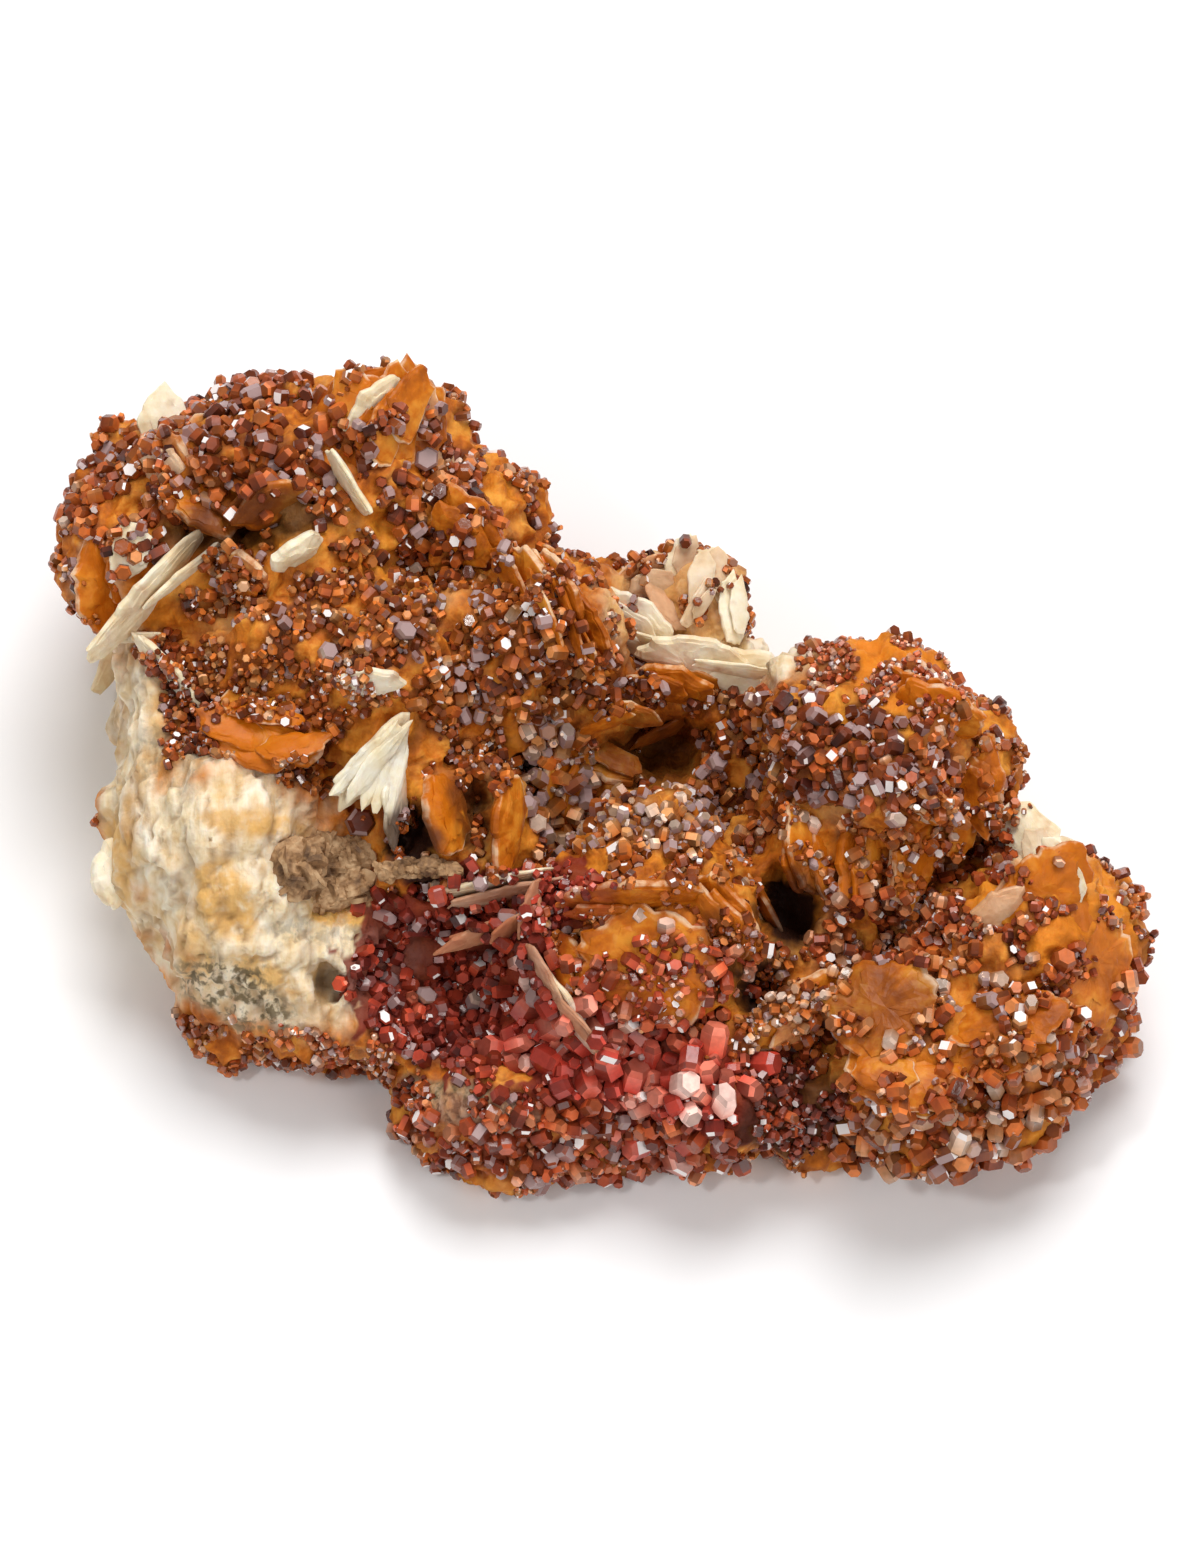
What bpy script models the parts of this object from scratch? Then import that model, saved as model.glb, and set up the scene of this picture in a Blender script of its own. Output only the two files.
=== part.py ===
"""Vanadinite on barite: druses of small hexagonal crystals on a lump of cream barite with bladed crests.

Shapes are laid out in millimetres on the display plane, the plane that a collector sees face-on: across to
the right and up along the plane. The lump rests on a flat base, with its crystal side facing up.
"""

import math
import random
from functools import partial
from typing import NamedTuple

import bmesh
import bpy
from mathutils import Matrix, Vector, noise
from mathutils.bvhtree import BVHTree

# Driving dimensions: the real width, and the width at which the layout below is drawn.
SPECIMEN_WIDTH = 0.080
LAYOUT_WIDTH = 80.0
UNIT = SPECIMEN_WIDTH / LAYOUT_WIDTH

# The display plane leans back, so that its viewer looks down at this angle.
DISPLAY_ELEVATION = 65.0
# The layout point that becomes the middle of the base, in layout units to the right and to the back.
BASE_MIDDLE = (0.1, -5.82)

# The massive barite: how finely its lumps merge, how many triangles are left, and the size of its relief.
MERGE_VOXEL = 0.9
MASSIVE_TRIANGLES = 1450
DENTS = 2.4
SWELLS = 1.5
KNOBS = 1.5
LEDGES = 0.7
GRAIN = 0.5

# Blades: how many sides each has, how uneven they are, and the share that its narrower face is of the wider.
BLADE_SIDES = 7
BLADE_REACH = (0.78, 1.12)
BLADE_TAPER = 0.88
BLADE_SEED = 5

# Vanadinite crystals: spacing, width and height are shares of a druse's crystal size.
CRYSTAL_SIDES = 6
CRYSTAL_TAPER = 0.94
CRYSTAL_RADIUS = (0.58, 0.7)
CRYSTAL_HEIGHT = (0.85, 1.2)
CLOSEST = 0.74
JOINED_WITHIN = 0.96
LEAN = 0.4
LOWEST_CRYSTAL = 2.8
TRIES_PER_CRYSTAL = 60
FIRST_DRUSE_SEED = 71

# The gap between pieces that touch, and a distance beyond the whole specimen.
GAP = 0.3
FAR = 200.0

# Base colour and roughness of each finish.
PALE_BARITE = ((0.72, 0.55, 0.36), 0.6)
BROWN_VANADINITE = ((0.30, 0.09, 0.04), 0.3)
RED_VANADINITE = ((0.36, 0.05, 0.05), 0.3)
WEATHERED = ((0.20, 0.15, 0.10), 0.9)

# Where a blade or a druse is laid out: the display plane, or a side that it turns away from.
DISPLAY = (0.0, DISPLAY_ELEVATION)
BACK = (180.0, 15.0)
LEFT = (-90.0, 25.0)
RIGHT = (90.0, 25.0)


class Lump(NamedTuple):
    """An ellipsoid of massive barite: its middle on the display plane, height over the base, and radii."""

    across: float
    up: float
    height: float
    wide: float
    deep: float
    tall: float


class Blade(NamedTuple):
    """A tabular barite crystal, set on the surface where a line of sight meets it."""

    across: float
    up: float
    length: float
    width: float
    thick: float
    heading: float
    roll: float
    proud: float = 0.8
    side: tuple = DISPLAY


class Druse(NamedTuple):
    """A crust of vanadinite crystals that grew together: the ellipse it covers, how many, and how wide each is."""

    name: str
    across: float
    up: float
    wide: float
    high: float
    crystals: int
    size: float
    side: tuple = DISPLAY
    red: bool = False


LUMPS = (
    # The upper left lobe and its tower.
    Lump(-23.0, 17.3, 15.0, 14.3, 11.0, 13.0),
    Lump(-32.0, 16.5, 14.0, 6.9, 9.0, 10.0),
    Lump(-32.0, 23.0, 15.0, 4.8, 4.8, 7.0),
    Lump(-25.5, 23.6, 16.0, 5.5, 4.3, 7.0),
    Lump(-15.5, 23.0, 19.0, 5.0, 6.0, 8.0),
    Lump(-10.0, 16.0, 16.0, 6.3, 6.6, 8.5),
    Lump(-7.0, 9.2, 15.0, 9.2, 7.6, 10.5),
    Lump(-18.0, 7.0, 14.0, 13.0, 9.0, 11.5),
    # The pale massive barite of the left.
    Lump(-26.3, -4.0, 9.0, 8.5, 13.5, 12.0),
    Lump(-31.3, 4.0, 9.0, 5.0, 9.5, 10.0),
    Lump(-22.0, -13.3, 6.0, 9.6, 8.4, 8.5),
    Lump(-13.0, -6.0, 8.0, 10.0, 10.0, 9.0),
    Lump(-10.5, -16.5, 5.0, 10.0, 8.5, 7.5),
    # The low middle, between the crests.
    Lump(6.0, 12.0, 11.0, 5.0, 4.2, 6.0),
    Lump(1.0, 9.8, 8.0, 6.5, 5.0, 7.5),
    Lump(4.0, 3.0, 6.0, 13.0, 8.0, 8.0),
    Lump(4.0, -12.0, 10.0, 9.0, 9.5, 9.0),
    Lump(-4.0, -23.8, 4.0, 10.4, 6.2, 6.5),
    Lump(8.0, -22.5, 6.0, 7.0, 6.0, 7.0),
    # The right dome and the lobes below it.
    Lump(15.0, -12.0, 6.0, 8.0, 12.0, 8.0),
    Lump(20.5, 0.5, 13.0, 9.0, 9.0, 10.5),
    Lump(25.0, 0.0, 11.0, 5.8, 6.8, 8.5),
    Lump(31.4, -13.0, 9.0, 8.0, 7.8, 9.0),
    Lump(26.5, -20.2, 7.0, 10.0, 8.2, 8.5),
    Lump(15.5, -23.6, 4.0, 5.5, 5.2, 6.0),
    Lump(34.3, -18.0, 6.0, 4.8, 5.0, 6.0),
    # The foot that all of it grew from.
    Lump(-22.0, 11.0, 4.0, 14.0, 10.0, 10.0),
    Lump(-24.0, -7.5, 3.0, 9.5, 11.5, 9.0),
    Lump(-8.0, 2.0, 3.0, 14.0, 13.0, 9.0),
    Lump(3.0, -15.0, 2.0, 13.0, 12.5, 8.0),
    Lump(20.0, -8.0, 3.0, 12.0, 12.5, 9.0),
    Lump(7.0, -4.0, 2.0, 8.0, 8.0, 7.0),
    Lump(29.0, -16.5, 3.0, 7.5, 9.0, 7.0),
)

# Open hollows between the crests.
VUGS = (
    Lump(4.5, 2.2, 14.0, 5.0, 3.0, 7.0),
    Lump(14.0, -9.7, 12.0, 2.6, 3.0, 6.5),
    Lump(-13.3, -4.3, 16.0, 2.2, 2.6, 4.5),
    Lump(-10.5, -15.5, 14.0, 6.5, 5.5, 4.5),
    Lump(-9.0, -3.0, 18.0, 1.6, 3.4, 4.5),
    Lump(12.0, -15.5, 13.0, 2.4, 1.8, 4.0),
    Lump(-26.5, 18.5, 28.0, 5.0, 2.6, 2.5),
    Lump(-9.0, 14.0, 26.0, 4.0, 2.0, 2.5),
)

BLADES = (
    # The pale blades of the left edge and the upper left crest.
    Blade(-33.0, 13.5, 13.0, 7.0, 1.6, 47.0, 72.0, 1.0),
    Blade(-34.0, 16.5, 5.0, 3.5, 1.0, 75.0, 20.0),
    Blade(-22.0, 16.3, 5.0, 3.5, 1.2, 33.0, 60.0),
    Blade(-18.2, 21.5, 7.0, 5.0, 0.7, -58.0, 78.0, 1.2),
    Blade(-15.8, 27.0, 7.0, 5.0, 1.0, 52.0, 50.0),
    Blade(-32.0, 26.5, 6.0, 4.0, 1.0, 100.0, 10.0, -0.5),
    Blade(-36.5, 14.5, 10.0, 6.0, 1.4, 82.0, 35.0, 0.0),
    Blade(-29.0, 20.0, 8.0, 5.0, 1.3, 150.0, 40.0),
    Blade(-23.5, 20.0, 7.0, 4.5, 1.3, 20.0, 45.0),
    # The tower.
    Blade(-13.6, 26.0, 9.0, 6.0, 1.4, 102.0, 18.0, 0.0),
    Blade(-17.5, 26.0, 9.0, 6.0, 1.4, 80.0, -15.0, 0.0),
    Blade(-15.2, 25.5, 10.0, 6.0, 1.2, 90.0, 30.0, 0.4),
    Blade(-9.5, 18.2, 8.0, 5.0, 1.4, -45.0, 25.0, 0.0),
    # The leaves of the upper middle.
    Blade(-4.5, 14.0, 9.0, 5.0, 1.2, -62.0, 55.0),
    Blade(-2.6, 13.0, 9.0, 5.0, 1.1, -68.0, 62.0),
    Blade(-1.0, 11.5, 8.0, 4.5, 1.0, -60.0, 58.0),
    Blade(3.0, 11.0, 9.0, 5.0, 1.0, -33.0, 35.0, 1.2),
    Blade(7.5, 8.6, 10.0, 5.0, 1.2, -10.0, 45.0, 1.5),
    Blade(12.0, 7.3, 8.0, 5.0, 1.2, -14.0, 30.0),
    Blade(6.0, 6.6, 7.0, 4.0, 1.2, -16.0, 50.0, 1.5),
    # The ledge over the pale massive barite.
    Blade(-24.5, 3.4, 11.0, 7.0, 1.6, 172.0, 35.0),
    Blade(-31.5, 7.5, 8.0, 5.0, 1.2, -50.0, 55.0),
    Blade(-16.2, 1.2, 9.0, 4.5, 0.9, 52.0, 55.0),
    Blade(-14.6, -1.2, 8.0, 4.0, 0.8, 84.0, 62.0),
    Blade(-11.0, -2.7, 7.0, 4.5, 1.6, 102.0, 50.0),
    Blade(-6.4, -3.8, 8.0, 4.0, 1.3, 84.0, 58.0, 1.0),
    Blade(-16.5, 6.8, 5.0, 3.5, 1.0, 5.0, 55.0),
    Blade(-35.5, -7.0, 5.5, 4.0, 2.0, 80.0, 25.0, -0.5),
    # The thin walls round the red hollow.
    Blade(-7.5, -7.9, 12.0, 5.0, 0.7, 13.0, 78.0, 1.6),
    Blade(-8.0, -11.4, 8.0, 4.5, 0.7, 20.0, 76.0, 1.8),
    Blade(-4.4, -10.4, 5.5, 4.0, 0.7, -88.0, 76.0, 1.6),
    Blade(-2.5, -16.5, 10.5, 5.0, 0.8, -56.0, 74.0, 1.4),
    # The lower middle.
    Blade(2.5, -8.9, 11.0, 5.5, 1.3, 3.0, 62.0, 1.0),
    Blade(4.0, -14.0, 11.0, 9.0, 1.6, 5.0, 8.0),
    Blade(9.6, -10.5, 9.5, 5.5, 1.5, -54.0, 48.0, 1.2),
    Blade(-1.4, -14.8, 7.0, 4.0, 1.2, -75.0, 48.0, 1.0),
    Blade(12.0, -9.5, 8.0, 5.0, 0.8, -58.0, 76.0),
    Blade(1.0, 0.6, 5.0, 4.0, 1.2, 165.0, 55.0),
    Blade(-2.4, 0.0, 9.0, 5.0, 1.6, 72.0, 55.0, 1.2),
    # The lower right.
    Blade(14.8, -17.0, 10.0, 5.0, 1.7, 34.0, 32.0, 1.2),
    Blade(20.8, -17.0, 10.0, 8.0, 1.6, 20.0, -20.0),
    Blade(22.5, -21.5, 10.0, 7.0, 1.5, 0.0, -32.0),
    Blade(30.0, -18.5, 11.0, 7.0, 1.5, 25.0, -25.0),
    # The broad rounded blades of the far right.
    Blade(36.0, -13.6, 11.5, 7.5, 1.8, 84.0, 22.0, 0.0),
    Blade(32.5, -8.5, 9.0, 7.0, 1.5, 60.0, 18.0, 0.5),
    Blade(29.5, -10.2, 5.0, 4.0, 1.2, 45.0, 38.0, 1.0),
    Blade(32.2, -5.0, 8.0, 4.5, 1.0, -60.0, 10.0, -0.5),
    Blade(28.0, -0.5, 8.0, 5.0, 1.2, -85.0, 28.0, 0.0),
    Blade(24.8, 4.8, 8.0, 4.5, 1.3, -28.0, 38.0, 0.2),
    # The leaves on the right dome.
    Blade(15.5, -5.5, 8.0, 4.5, 1.3, 98.0, 48.0),
    Blade(19.0, -6.5, 8.0, 4.5, 1.3, 88.0, 40.0),
    Blade(23.5, -6.0, 8.0, 5.0, 1.3, 76.0, 42.0),
    Blade(27.0, -3.0, 7.0, 4.5, 1.2, 66.0, 40.0),
    # The sides that the display view doesn't show.
    Blade(-26.0, 5.0, 9.0, 5.0, 1.5, 60.0, 55.0, 0.2, BACK),
    Blade(-17.0, 8.0, 8.0, 5.0, 1.3, 80.0, 50.0, 0.2, BACK),
    Blade(-9.0, 4.0, 9.0, 5.0, 1.4, 110.0, 50.0, 0.2, BACK),
    Blade(-3.0, 5.0, 8.0, 5.0, 1.3, 100.0, 60.0, 0.2, BACK),
    Blade(4.0, 7.0, 8.0, 5.0, 1.2, 20.0, 60.0, 0.2, BACK),
    Blade(22.0, 8.0, 9.0, 5.0, 1.4, 130.0, 50.0, 0.2, BACK),
    Blade(28.0, 8.0, 8.0, 5.0, 1.3, 95.0, 60.0, 0.2, BACK),
    Blade(-14.0, 8.0, 9.0, 6.0, 1.5, 85.0, 40.0, -0.3, LEFT),
    Blade(-6.0, 10.0, 8.0, 5.0, 1.3, 70.0, 55.0, -0.3, LEFT),
    Blade(8.0, 6.0, 8.0, 5.0, 1.3, 105.0, 50.0, -0.6, LEFT),
    Blade(-12.0, 8.0, 8.0, 5.0, 1.5, 95.0, 45.0, -0.3, RIGHT),
    Blade(-2.0, 8.0, 8.0, 5.0, 1.3, 75.0, 55.0, -0.3, RIGHT),
)

DRUSES = (
    Druse("vanadinite_upper_left", -27.5, 23.0, 8.0, 4.0, 13, 2.5),
    Druse("vanadinite_left_edge", -35.4, 17.0, 2.5, 6.0, 7, 2.4),
    Druse("vanadinite_tower", -13.0, 22.0, 4.0, 5.5, 8, 2.4),
    Druse("vanadinite_left_middle", -24.5, 10.5, 8.5, 3.6, 12, 2.4),
    Druse("vanadinite_centre", -9.5, 8.0, 6.5, 5.0, 10, 2.5),
    Druse("vanadinite_ridge", 6.5, -3.5, 5.0, 2.6, 8, 2.3),
    Druse("vanadinite_lower_middle", 4.0, -14.5, 5.5, 3.5, 7, 2.4),
    Druse("vanadinite_right_dome", 19.5, 2.5, 7.5, 5.0, 12, 2.6),
    Druse("vanadinite_right_flank", 23.5, -10.5, 6.5, 3.2, 8, 2.5),
    Druse("vanadinite_lower_right", 25.0, -24.0, 9.0, 4.0, 11, 2.7),
    Druse("vanadinite_far_right", 34.5, -19.0, 4.5, 4.5, 6, 2.6),
    Druse("vanadinite_red_hollow", -11.5, -16.0, 6.0, 5.0, 7, 2.7, DISPLAY, True),
    Druse("vanadinite_red_cluster", 4.5, -22.5, 7.5, 3.5, 9, 3.5, DISPLAY, True),
    Druse("vanadinite_lower_edge", -5.0, -25.2, 8.0, 2.8, 8, 2.5),
    Druse("vanadinite_back", 12.0, 6.0, 8.0, 4.0, 8, 2.6, BACK),
)

# The grey-brown knot of weathered crystals that sits in the pale barite.
KNOT_PLACE = (-20.0, -6.5)
KNOT_RADIUS = 3.2
KNOT_PLATES = 9
KNOT_PLATE_THICK = 0.9
KNOT_SEED = 3
GOLDEN_TURN = 2.4


def axes_seen_from(azimuth, elevation):
    """The right, up and towards-the-viewer directions for a line of sight. Azimuth 0 looks to the back."""
    turn, rise = math.radians(azimuth), math.radians(elevation)
    right = Vector((math.cos(turn), math.sin(turn), 0.0))
    toward = Vector((math.sin(turn) * math.cos(rise), -math.cos(turn) * math.cos(rise), math.sin(rise)))
    return right, toward.cross(right), toward


def placed(across, up, height):
    """The layout point at a height over the base that shows at a place on the display plane."""
    rise = math.radians(DISPLAY_ELEVATION)
    return Vector((across, (up - height * math.cos(rise)) / math.sin(rise), height))


def new_object(name, mesh, collection):
    made = bpy.data.objects.new(name, mesh)
    collection.objects.link(made)
    return made


def mesh_of(form, name):
    mesh = bpy.data.meshes.new(name)
    form.normal_update()
    form.to_mesh(mesh)
    form.free()
    return mesh


def evaluated_mesh(obj):
    """The object's mesh with its modifiers applied, as a new mesh; the object is removed."""
    graph = bpy.context.evaluated_depsgraph_get()
    mesh = bpy.data.meshes.new_from_object(obj.evaluated_get(graph))
    bpy.data.objects.remove(obj)
    return mesh


def combined(mesh, operation, form, collection):
    """A copy of the mesh joined with the form, or cut by it."""
    body = new_object("body", mesh.copy(), collection)
    other = new_object("other", mesh_of(form, "other"), collection)
    step = body.modifiers.new(operation.title(), "BOOLEAN")
    step.operation = operation
    step.object = other
    step.use_self = True
    result = evaluated_mesh(body)
    bpy.data.objects.remove(other)
    return result


def add_lump(form, lump):
    """Adds an ellipsoid to the form, dented by low noise so that no two are alike."""
    middle = placed(lump.across, lump.up, lump.height)
    for vert in bmesh.ops.create_icosphere(form, subdivisions=3, radius=1.0)["verts"]:
        point = Vector((vert.co.x * lump.wide, vert.co.y * lump.deep, vert.co.z * lump.tall)) + middle
        vert.co = point + vert.co * DENTS * noise.noise(point * 0.16)


def relief(point):
    """How far the broken, knobbly surface of the massive barite stands out at a point."""
    swell = SWELLS * noise.noise(point * 0.13 + Vector((7.0, 0.0, 0.0)))
    near, second = noise.voronoi(point * 0.2)[0][:2]
    knobs = KNOBS * (0.55 - near)
    ledges = LEDGES * min(second - near, 0.5)
    return swell + knobs + ledges + GRAIN * noise.noise(point * 0.55)


def carve_vugs(mesh):
    """Pushes the surface away from the viewer of the display plane where a hollow lies."""
    toward = axes_seen_from(*DISPLAY)[2]
    for vug in VUGS:
        middle = placed(vug.across, vug.up, vug.height)
        for vert in mesh.vertices:
            offset = vert.co - middle
            flat = offset - toward * offset.dot(toward)
            share = math.hypot(flat.x / vug.wide, math.hypot(flat.y, flat.z) / vug.deep)
            if share < 1.0 and vert.normal.dot(toward) > -0.2:
                vert.co -= toward * vug.tall * (1.0 - share * share) ** 0.7


def massive_barite(collection):
    """The lumps merged into one surface, with its vugs and its broken relief, before the base is cut."""
    form = bmesh.new()
    for lump in LUMPS:
        add_lump(form, lump)
    body = new_object("massive_barite", mesh_of(form, "massive_barite"), collection)
    merge = body.modifiers.new("Merge", "REMESH")
    merge.mode = "VOXEL"
    merge.voxel_size = MERGE_VOXEL
    mesh = evaluated_mesh(body)
    carve_vugs(mesh)
    moved = [v.co + v.normal * relief(v.co) for v in mesh.vertices]
    for vert, point in zip(mesh.vertices, moved):
        vert.co = point
    return mesh


def surface_search(mesh):
    return BVHTree.FromPolygons([v.co for v in mesh.vertices], [p.vertices for p in mesh.polygons])


def sight(search, across, up, side):
    """Where a line of sight on a side meets the surface, and the normal there, or two Nones."""
    right, upward, toward = axes_seen_from(*side)
    point, normal, _, _ = search.ray_cast(right * across + upward * up + toward * FAR, -toward)
    return point, normal


def blade_matrix(blade, point):
    """Turns a plate lying flat, long side along X, into the blade's place."""
    right, upward, toward = axes_seen_from(*blade.side)
    heading = math.radians(blade.heading)
    long_way = right * math.cos(heading) + upward * math.sin(heading)
    face = Matrix.Rotation(math.radians(blade.roll), 3, long_way) @ toward
    turned = Matrix((long_way, face.cross(long_way), face)).transposed().to_4x4()
    return Matrix.Translation(point + toward * blade.proud) @ turned


def add_plate(form, blade, matrix, chance, grow=0.0):
    """Adds a tabular crystal: a plate with uneven sides, narrower on one face."""
    plate = bmesh.ops.create_cone(
        form, cap_ends=True, segments=BLADE_SIDES, radius1=1.0, radius2=BLADE_TAPER, depth=1.0
    )["verts"]
    reach = [chance.uniform(*BLADE_REACH) for _ in range(BLADE_SIDES)]
    for vert in plate:
        side = round(math.atan2(vert.co.y, vert.co.x) / math.tau * BLADE_SIDES - 0.01) % BLADE_SIDES
        flat = Vector((vert.co.x * blade.length / 2, vert.co.y * blade.width / 2, 0.0)) * reach[side]
        flat += flat.normalized() * grow
        vert.co = matrix @ (flat + Vector((0.0, 0.0, vert.co.z * (blade.thick + 2 * grow))))


def blades_form(search, grow=0.0):
    """All the blades that find the surface, in one form."""
    form = bmesh.new()
    chance = random.Random(BLADE_SEED)
    for blade in BLADES:
        point, _ = sight(search, blade.across, blade.up, blade.side)
        if point is not None:
            add_plate(form, blade, blade_matrix(blade, point), chance, grow)
    return form


def grown(mesh, distance):
    """A copy of the mesh with its faces moved out by a distance, and its sharpest corners by up to twice that."""
    form = bmesh.new()
    form.from_mesh(mesh)
    form.normal_update()
    moves = {}
    for vert in form.verts:
        squareness = min(vert.normal.dot(face.normal) for face in vert.link_faces)
        moves[vert] = vert.normal * distance / max(squareness, 0.5)
    for vert, move in moves.items():
        vert.co += move
    return form


def fewer_faces(mesh, name, triangles, collection):
    body = new_object(name, mesh, collection)
    count = sum(len(p.vertices) - 2 for p in mesh.polygons)
    fewer = body.modifiers.new("Fewer", "DECIMATE")
    fewer.ratio = triangles / count
    return evaluated_mesh(body)


def below_the_base():
    """A block under the rest plane, larger than the specimen."""
    form = bmesh.new()
    bmesh.ops.create_cube(form, size=FAR, matrix=Matrix.Translation((0.0, 0.0, -FAR / 2)))
    return form


def turned_to(point, axis, turn=0.0):
    """The matrix that stands a shape at a point with its Z along an axis."""
    upright = axis.to_track_quat("Z", "Y").to_matrix().to_4x4()
    return Matrix.Translation(point) @ upright @ Matrix.Rotation(turn, 4, "Z")


def add_prism(form, place, radius, height):
    """Adds a vanadinite crystal: a short six-sided prism with flat ends."""
    bmesh.ops.create_cone(
        form,
        cap_ends=True,
        segments=CRYSTAL_SIDES,
        radius1=radius * CRYSTAL_TAPER,
        radius2=radius,
        depth=height,
        matrix=place,
    )


def druse_sites(druse, search, chance):
    """Points and normals in a druse's ellipse, each next to an earlier one and none too close to another."""
    sites = []
    for _ in range(druse.crystals * TRIES_PER_CRYSTAL):
        if len(sites) == druse.crystals:
            break
        turn, reach = chance.uniform(0.0, math.tau), math.sqrt(chance.random())
        across = druse.across + druse.wide * reach * math.cos(turn)
        up = druse.up + druse.high * reach * math.sin(turn)
        point, normal = sight(search, across, up, druse.side)
        if point is None or point.z < LOWEST_CRYSTAL:
            continue
        nearest = min([(point - other).length for other, _ in sites], default=druse.size * CLOSEST)
        if druse.size * CLOSEST <= nearest <= druse.size * JOINED_WITHIN:
            sites.append((point, normal))
    return sites


def druse_form(druse, search, seed, grow=0.0):
    """A druse's crystals in one form, each grown outwards by a distance."""
    chance = random.Random(seed)
    form = bmesh.new()
    for point, normal in druse_sites(druse, search, chance):
        leaning = Vector([chance.uniform(-LEAN, LEAN) for _ in range(3)])
        axis = (normal + leaning).normalized()
        radius = druse.size * chance.uniform(*CRYSTAL_RADIUS)
        height = druse.size * chance.uniform(*CRYSTAL_HEIGHT)
        turn = chance.uniform(0.0, math.tau)
        middle = point + axis * height * 0.35
        add_prism(form, turned_to(middle, axis, turn), radius + grow, height + 2 * grow)
    return form


def knot_form(search, grow=0.0):
    """The grey-brown knot: short plates turned every way about a round core."""
    chance = random.Random(KNOT_SEED)
    point, normal = sight(search, *KNOT_PLACE, DISPLAY)
    middle = point + normal * 0.2
    form = bmesh.new()
    core = Matrix.Translation(middle) @ Matrix.Scale(KNOT_RADIUS * 0.75 + grow, 4)
    bmesh.ops.create_icosphere(form, subdivisions=2, radius=1.0, matrix=core)
    for index in range(KNOT_PLATES):
        heading = index * GOLDEN_TURN
        way = Vector((math.cos(heading), math.sin(heading), chance.uniform(-0.2, 1.0))).normalized()
        place = turned_to(middle + way * KNOT_RADIUS * 0.5, way.orthogonal())
        add_prism(form, place, KNOT_RADIUS * 0.55 + grow, KNOT_PLATE_THICK + 2 * grow)
    return form


def largest_body(mesh):
    """Deletes every loose body of the mesh but the largest."""
    form = bmesh.new()
    form.from_mesh(mesh)
    unseen, bodies = set(form.verts), []
    while unseen:
        body, edge_of_it = set(), [unseen.pop()]
        while edge_of_it:
            vert = edge_of_it.pop()
            body.add(vert)
            near = {edge.other_vert(vert) for edge in vert.link_edges} & unseen
            unseen -= near
            edge_of_it.extend(near)
        bodies.append(body)
    keep = max(bodies, key=len)
    bmesh.ops.delete(form, geom=[v for v in form.verts if v not in keep], context="VERTS")
    form.to_mesh(mesh)
    form.free()


def form_of(mesh):
    form = bmesh.new()
    form.from_mesh(mesh)
    return form


def add_node(mesh, name, look, collection):
    """Makes a node of the mesh's largest body, at real size over the middle of the base, with its material."""
    largest_body(mesh)
    mesh.transform(Matrix.Scale(UNIT, 4) @ Matrix.Translation((-BASE_MIDDLE[0], -BASE_MIDDLE[1], 0.0)))
    material = bpy.data.materials.new(name)
    material.use_nodes = True
    shader = material.node_tree.nodes["Principled BSDF"]
    colour, roughness = look
    shader.inputs["Base Color"].default_value = (*colour, 1.0)
    shader.inputs["Roughness"].default_value = roughness
    mesh.materials.clear()
    mesh.materials.append(material)
    new_object(name, mesh, collection)


def main():
    for obj in list(bpy.data.objects):
        bpy.data.objects.remove(obj)
    parts = bpy.data.collections.new("vanadinite_on_barite")
    bpy.context.scene.collection.children.link(parts)

    fine = massive_barite(parts)
    on_massive = surface_search(fine)
    coarse = fewer_faces(fine, "coarse", MASSIVE_TRIANGLES, parts)
    barite = combined(coarse, "UNION", blades_form(on_massive), parts)
    on_barite = surface_search(barite)
    taken = combined(barite, "UNION", grown(coarse, 1.2 * GAP), parts)
    taken = combined(taken, "UNION", blades_form(on_massive, GAP), parts)

    crusts = [("weathered_knot", WEATHERED, partial(knot_form, on_barite))]
    for index, druse in enumerate(DRUSES):
        look = RED_VANADINITE if druse.red else BROWN_VANADINITE
        crusts.append((druse.name, look, partial(druse_form, druse, on_barite, FIRST_DRUSE_SEED + index)))
    for name, look, form_with in crusts:
        crust = mesh_of(form_with(), name)
        add_node(combined(crust, "DIFFERENCE", form_of(taken), parts), name, look, parts)
        taken = combined(taken, "UNION", form_with(GAP), parts)

    rest = combined(barite, "DIFFERENCE", below_the_base(), parts)
    add_node(rest, "barite_matrix", PALE_BARITE, parts)


main()
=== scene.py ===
"""Vanadinite on barite, dressed: fine barite, sharp blades and thousands of small vanadinite crystals.

Shapes are laid out in millimetres on the display plane, the plane that a collector sees face-on: across to
the right and up along the plane. The same lumps, hollows and blades stand behind the solids of the frame.
"""

from __future__ import annotations

import logging
import math
import random
from dataclasses import dataclass, field
from enum import Enum
from itertools import product
from typing import Any, Callable, ClassVar, Iterable, NamedTuple, Sequence, TypeVar

import bmesh
import bpy
import numpy as np
from bmesh.types import BMEdge, BMesh
from bpy.types import Material, Mesh, Node, NodeOutputs, NodeSocket, NodeTree, Object
from mathutils import Matrix, Vector, noise
from mathutils.bvhtree import BVHTree

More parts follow.
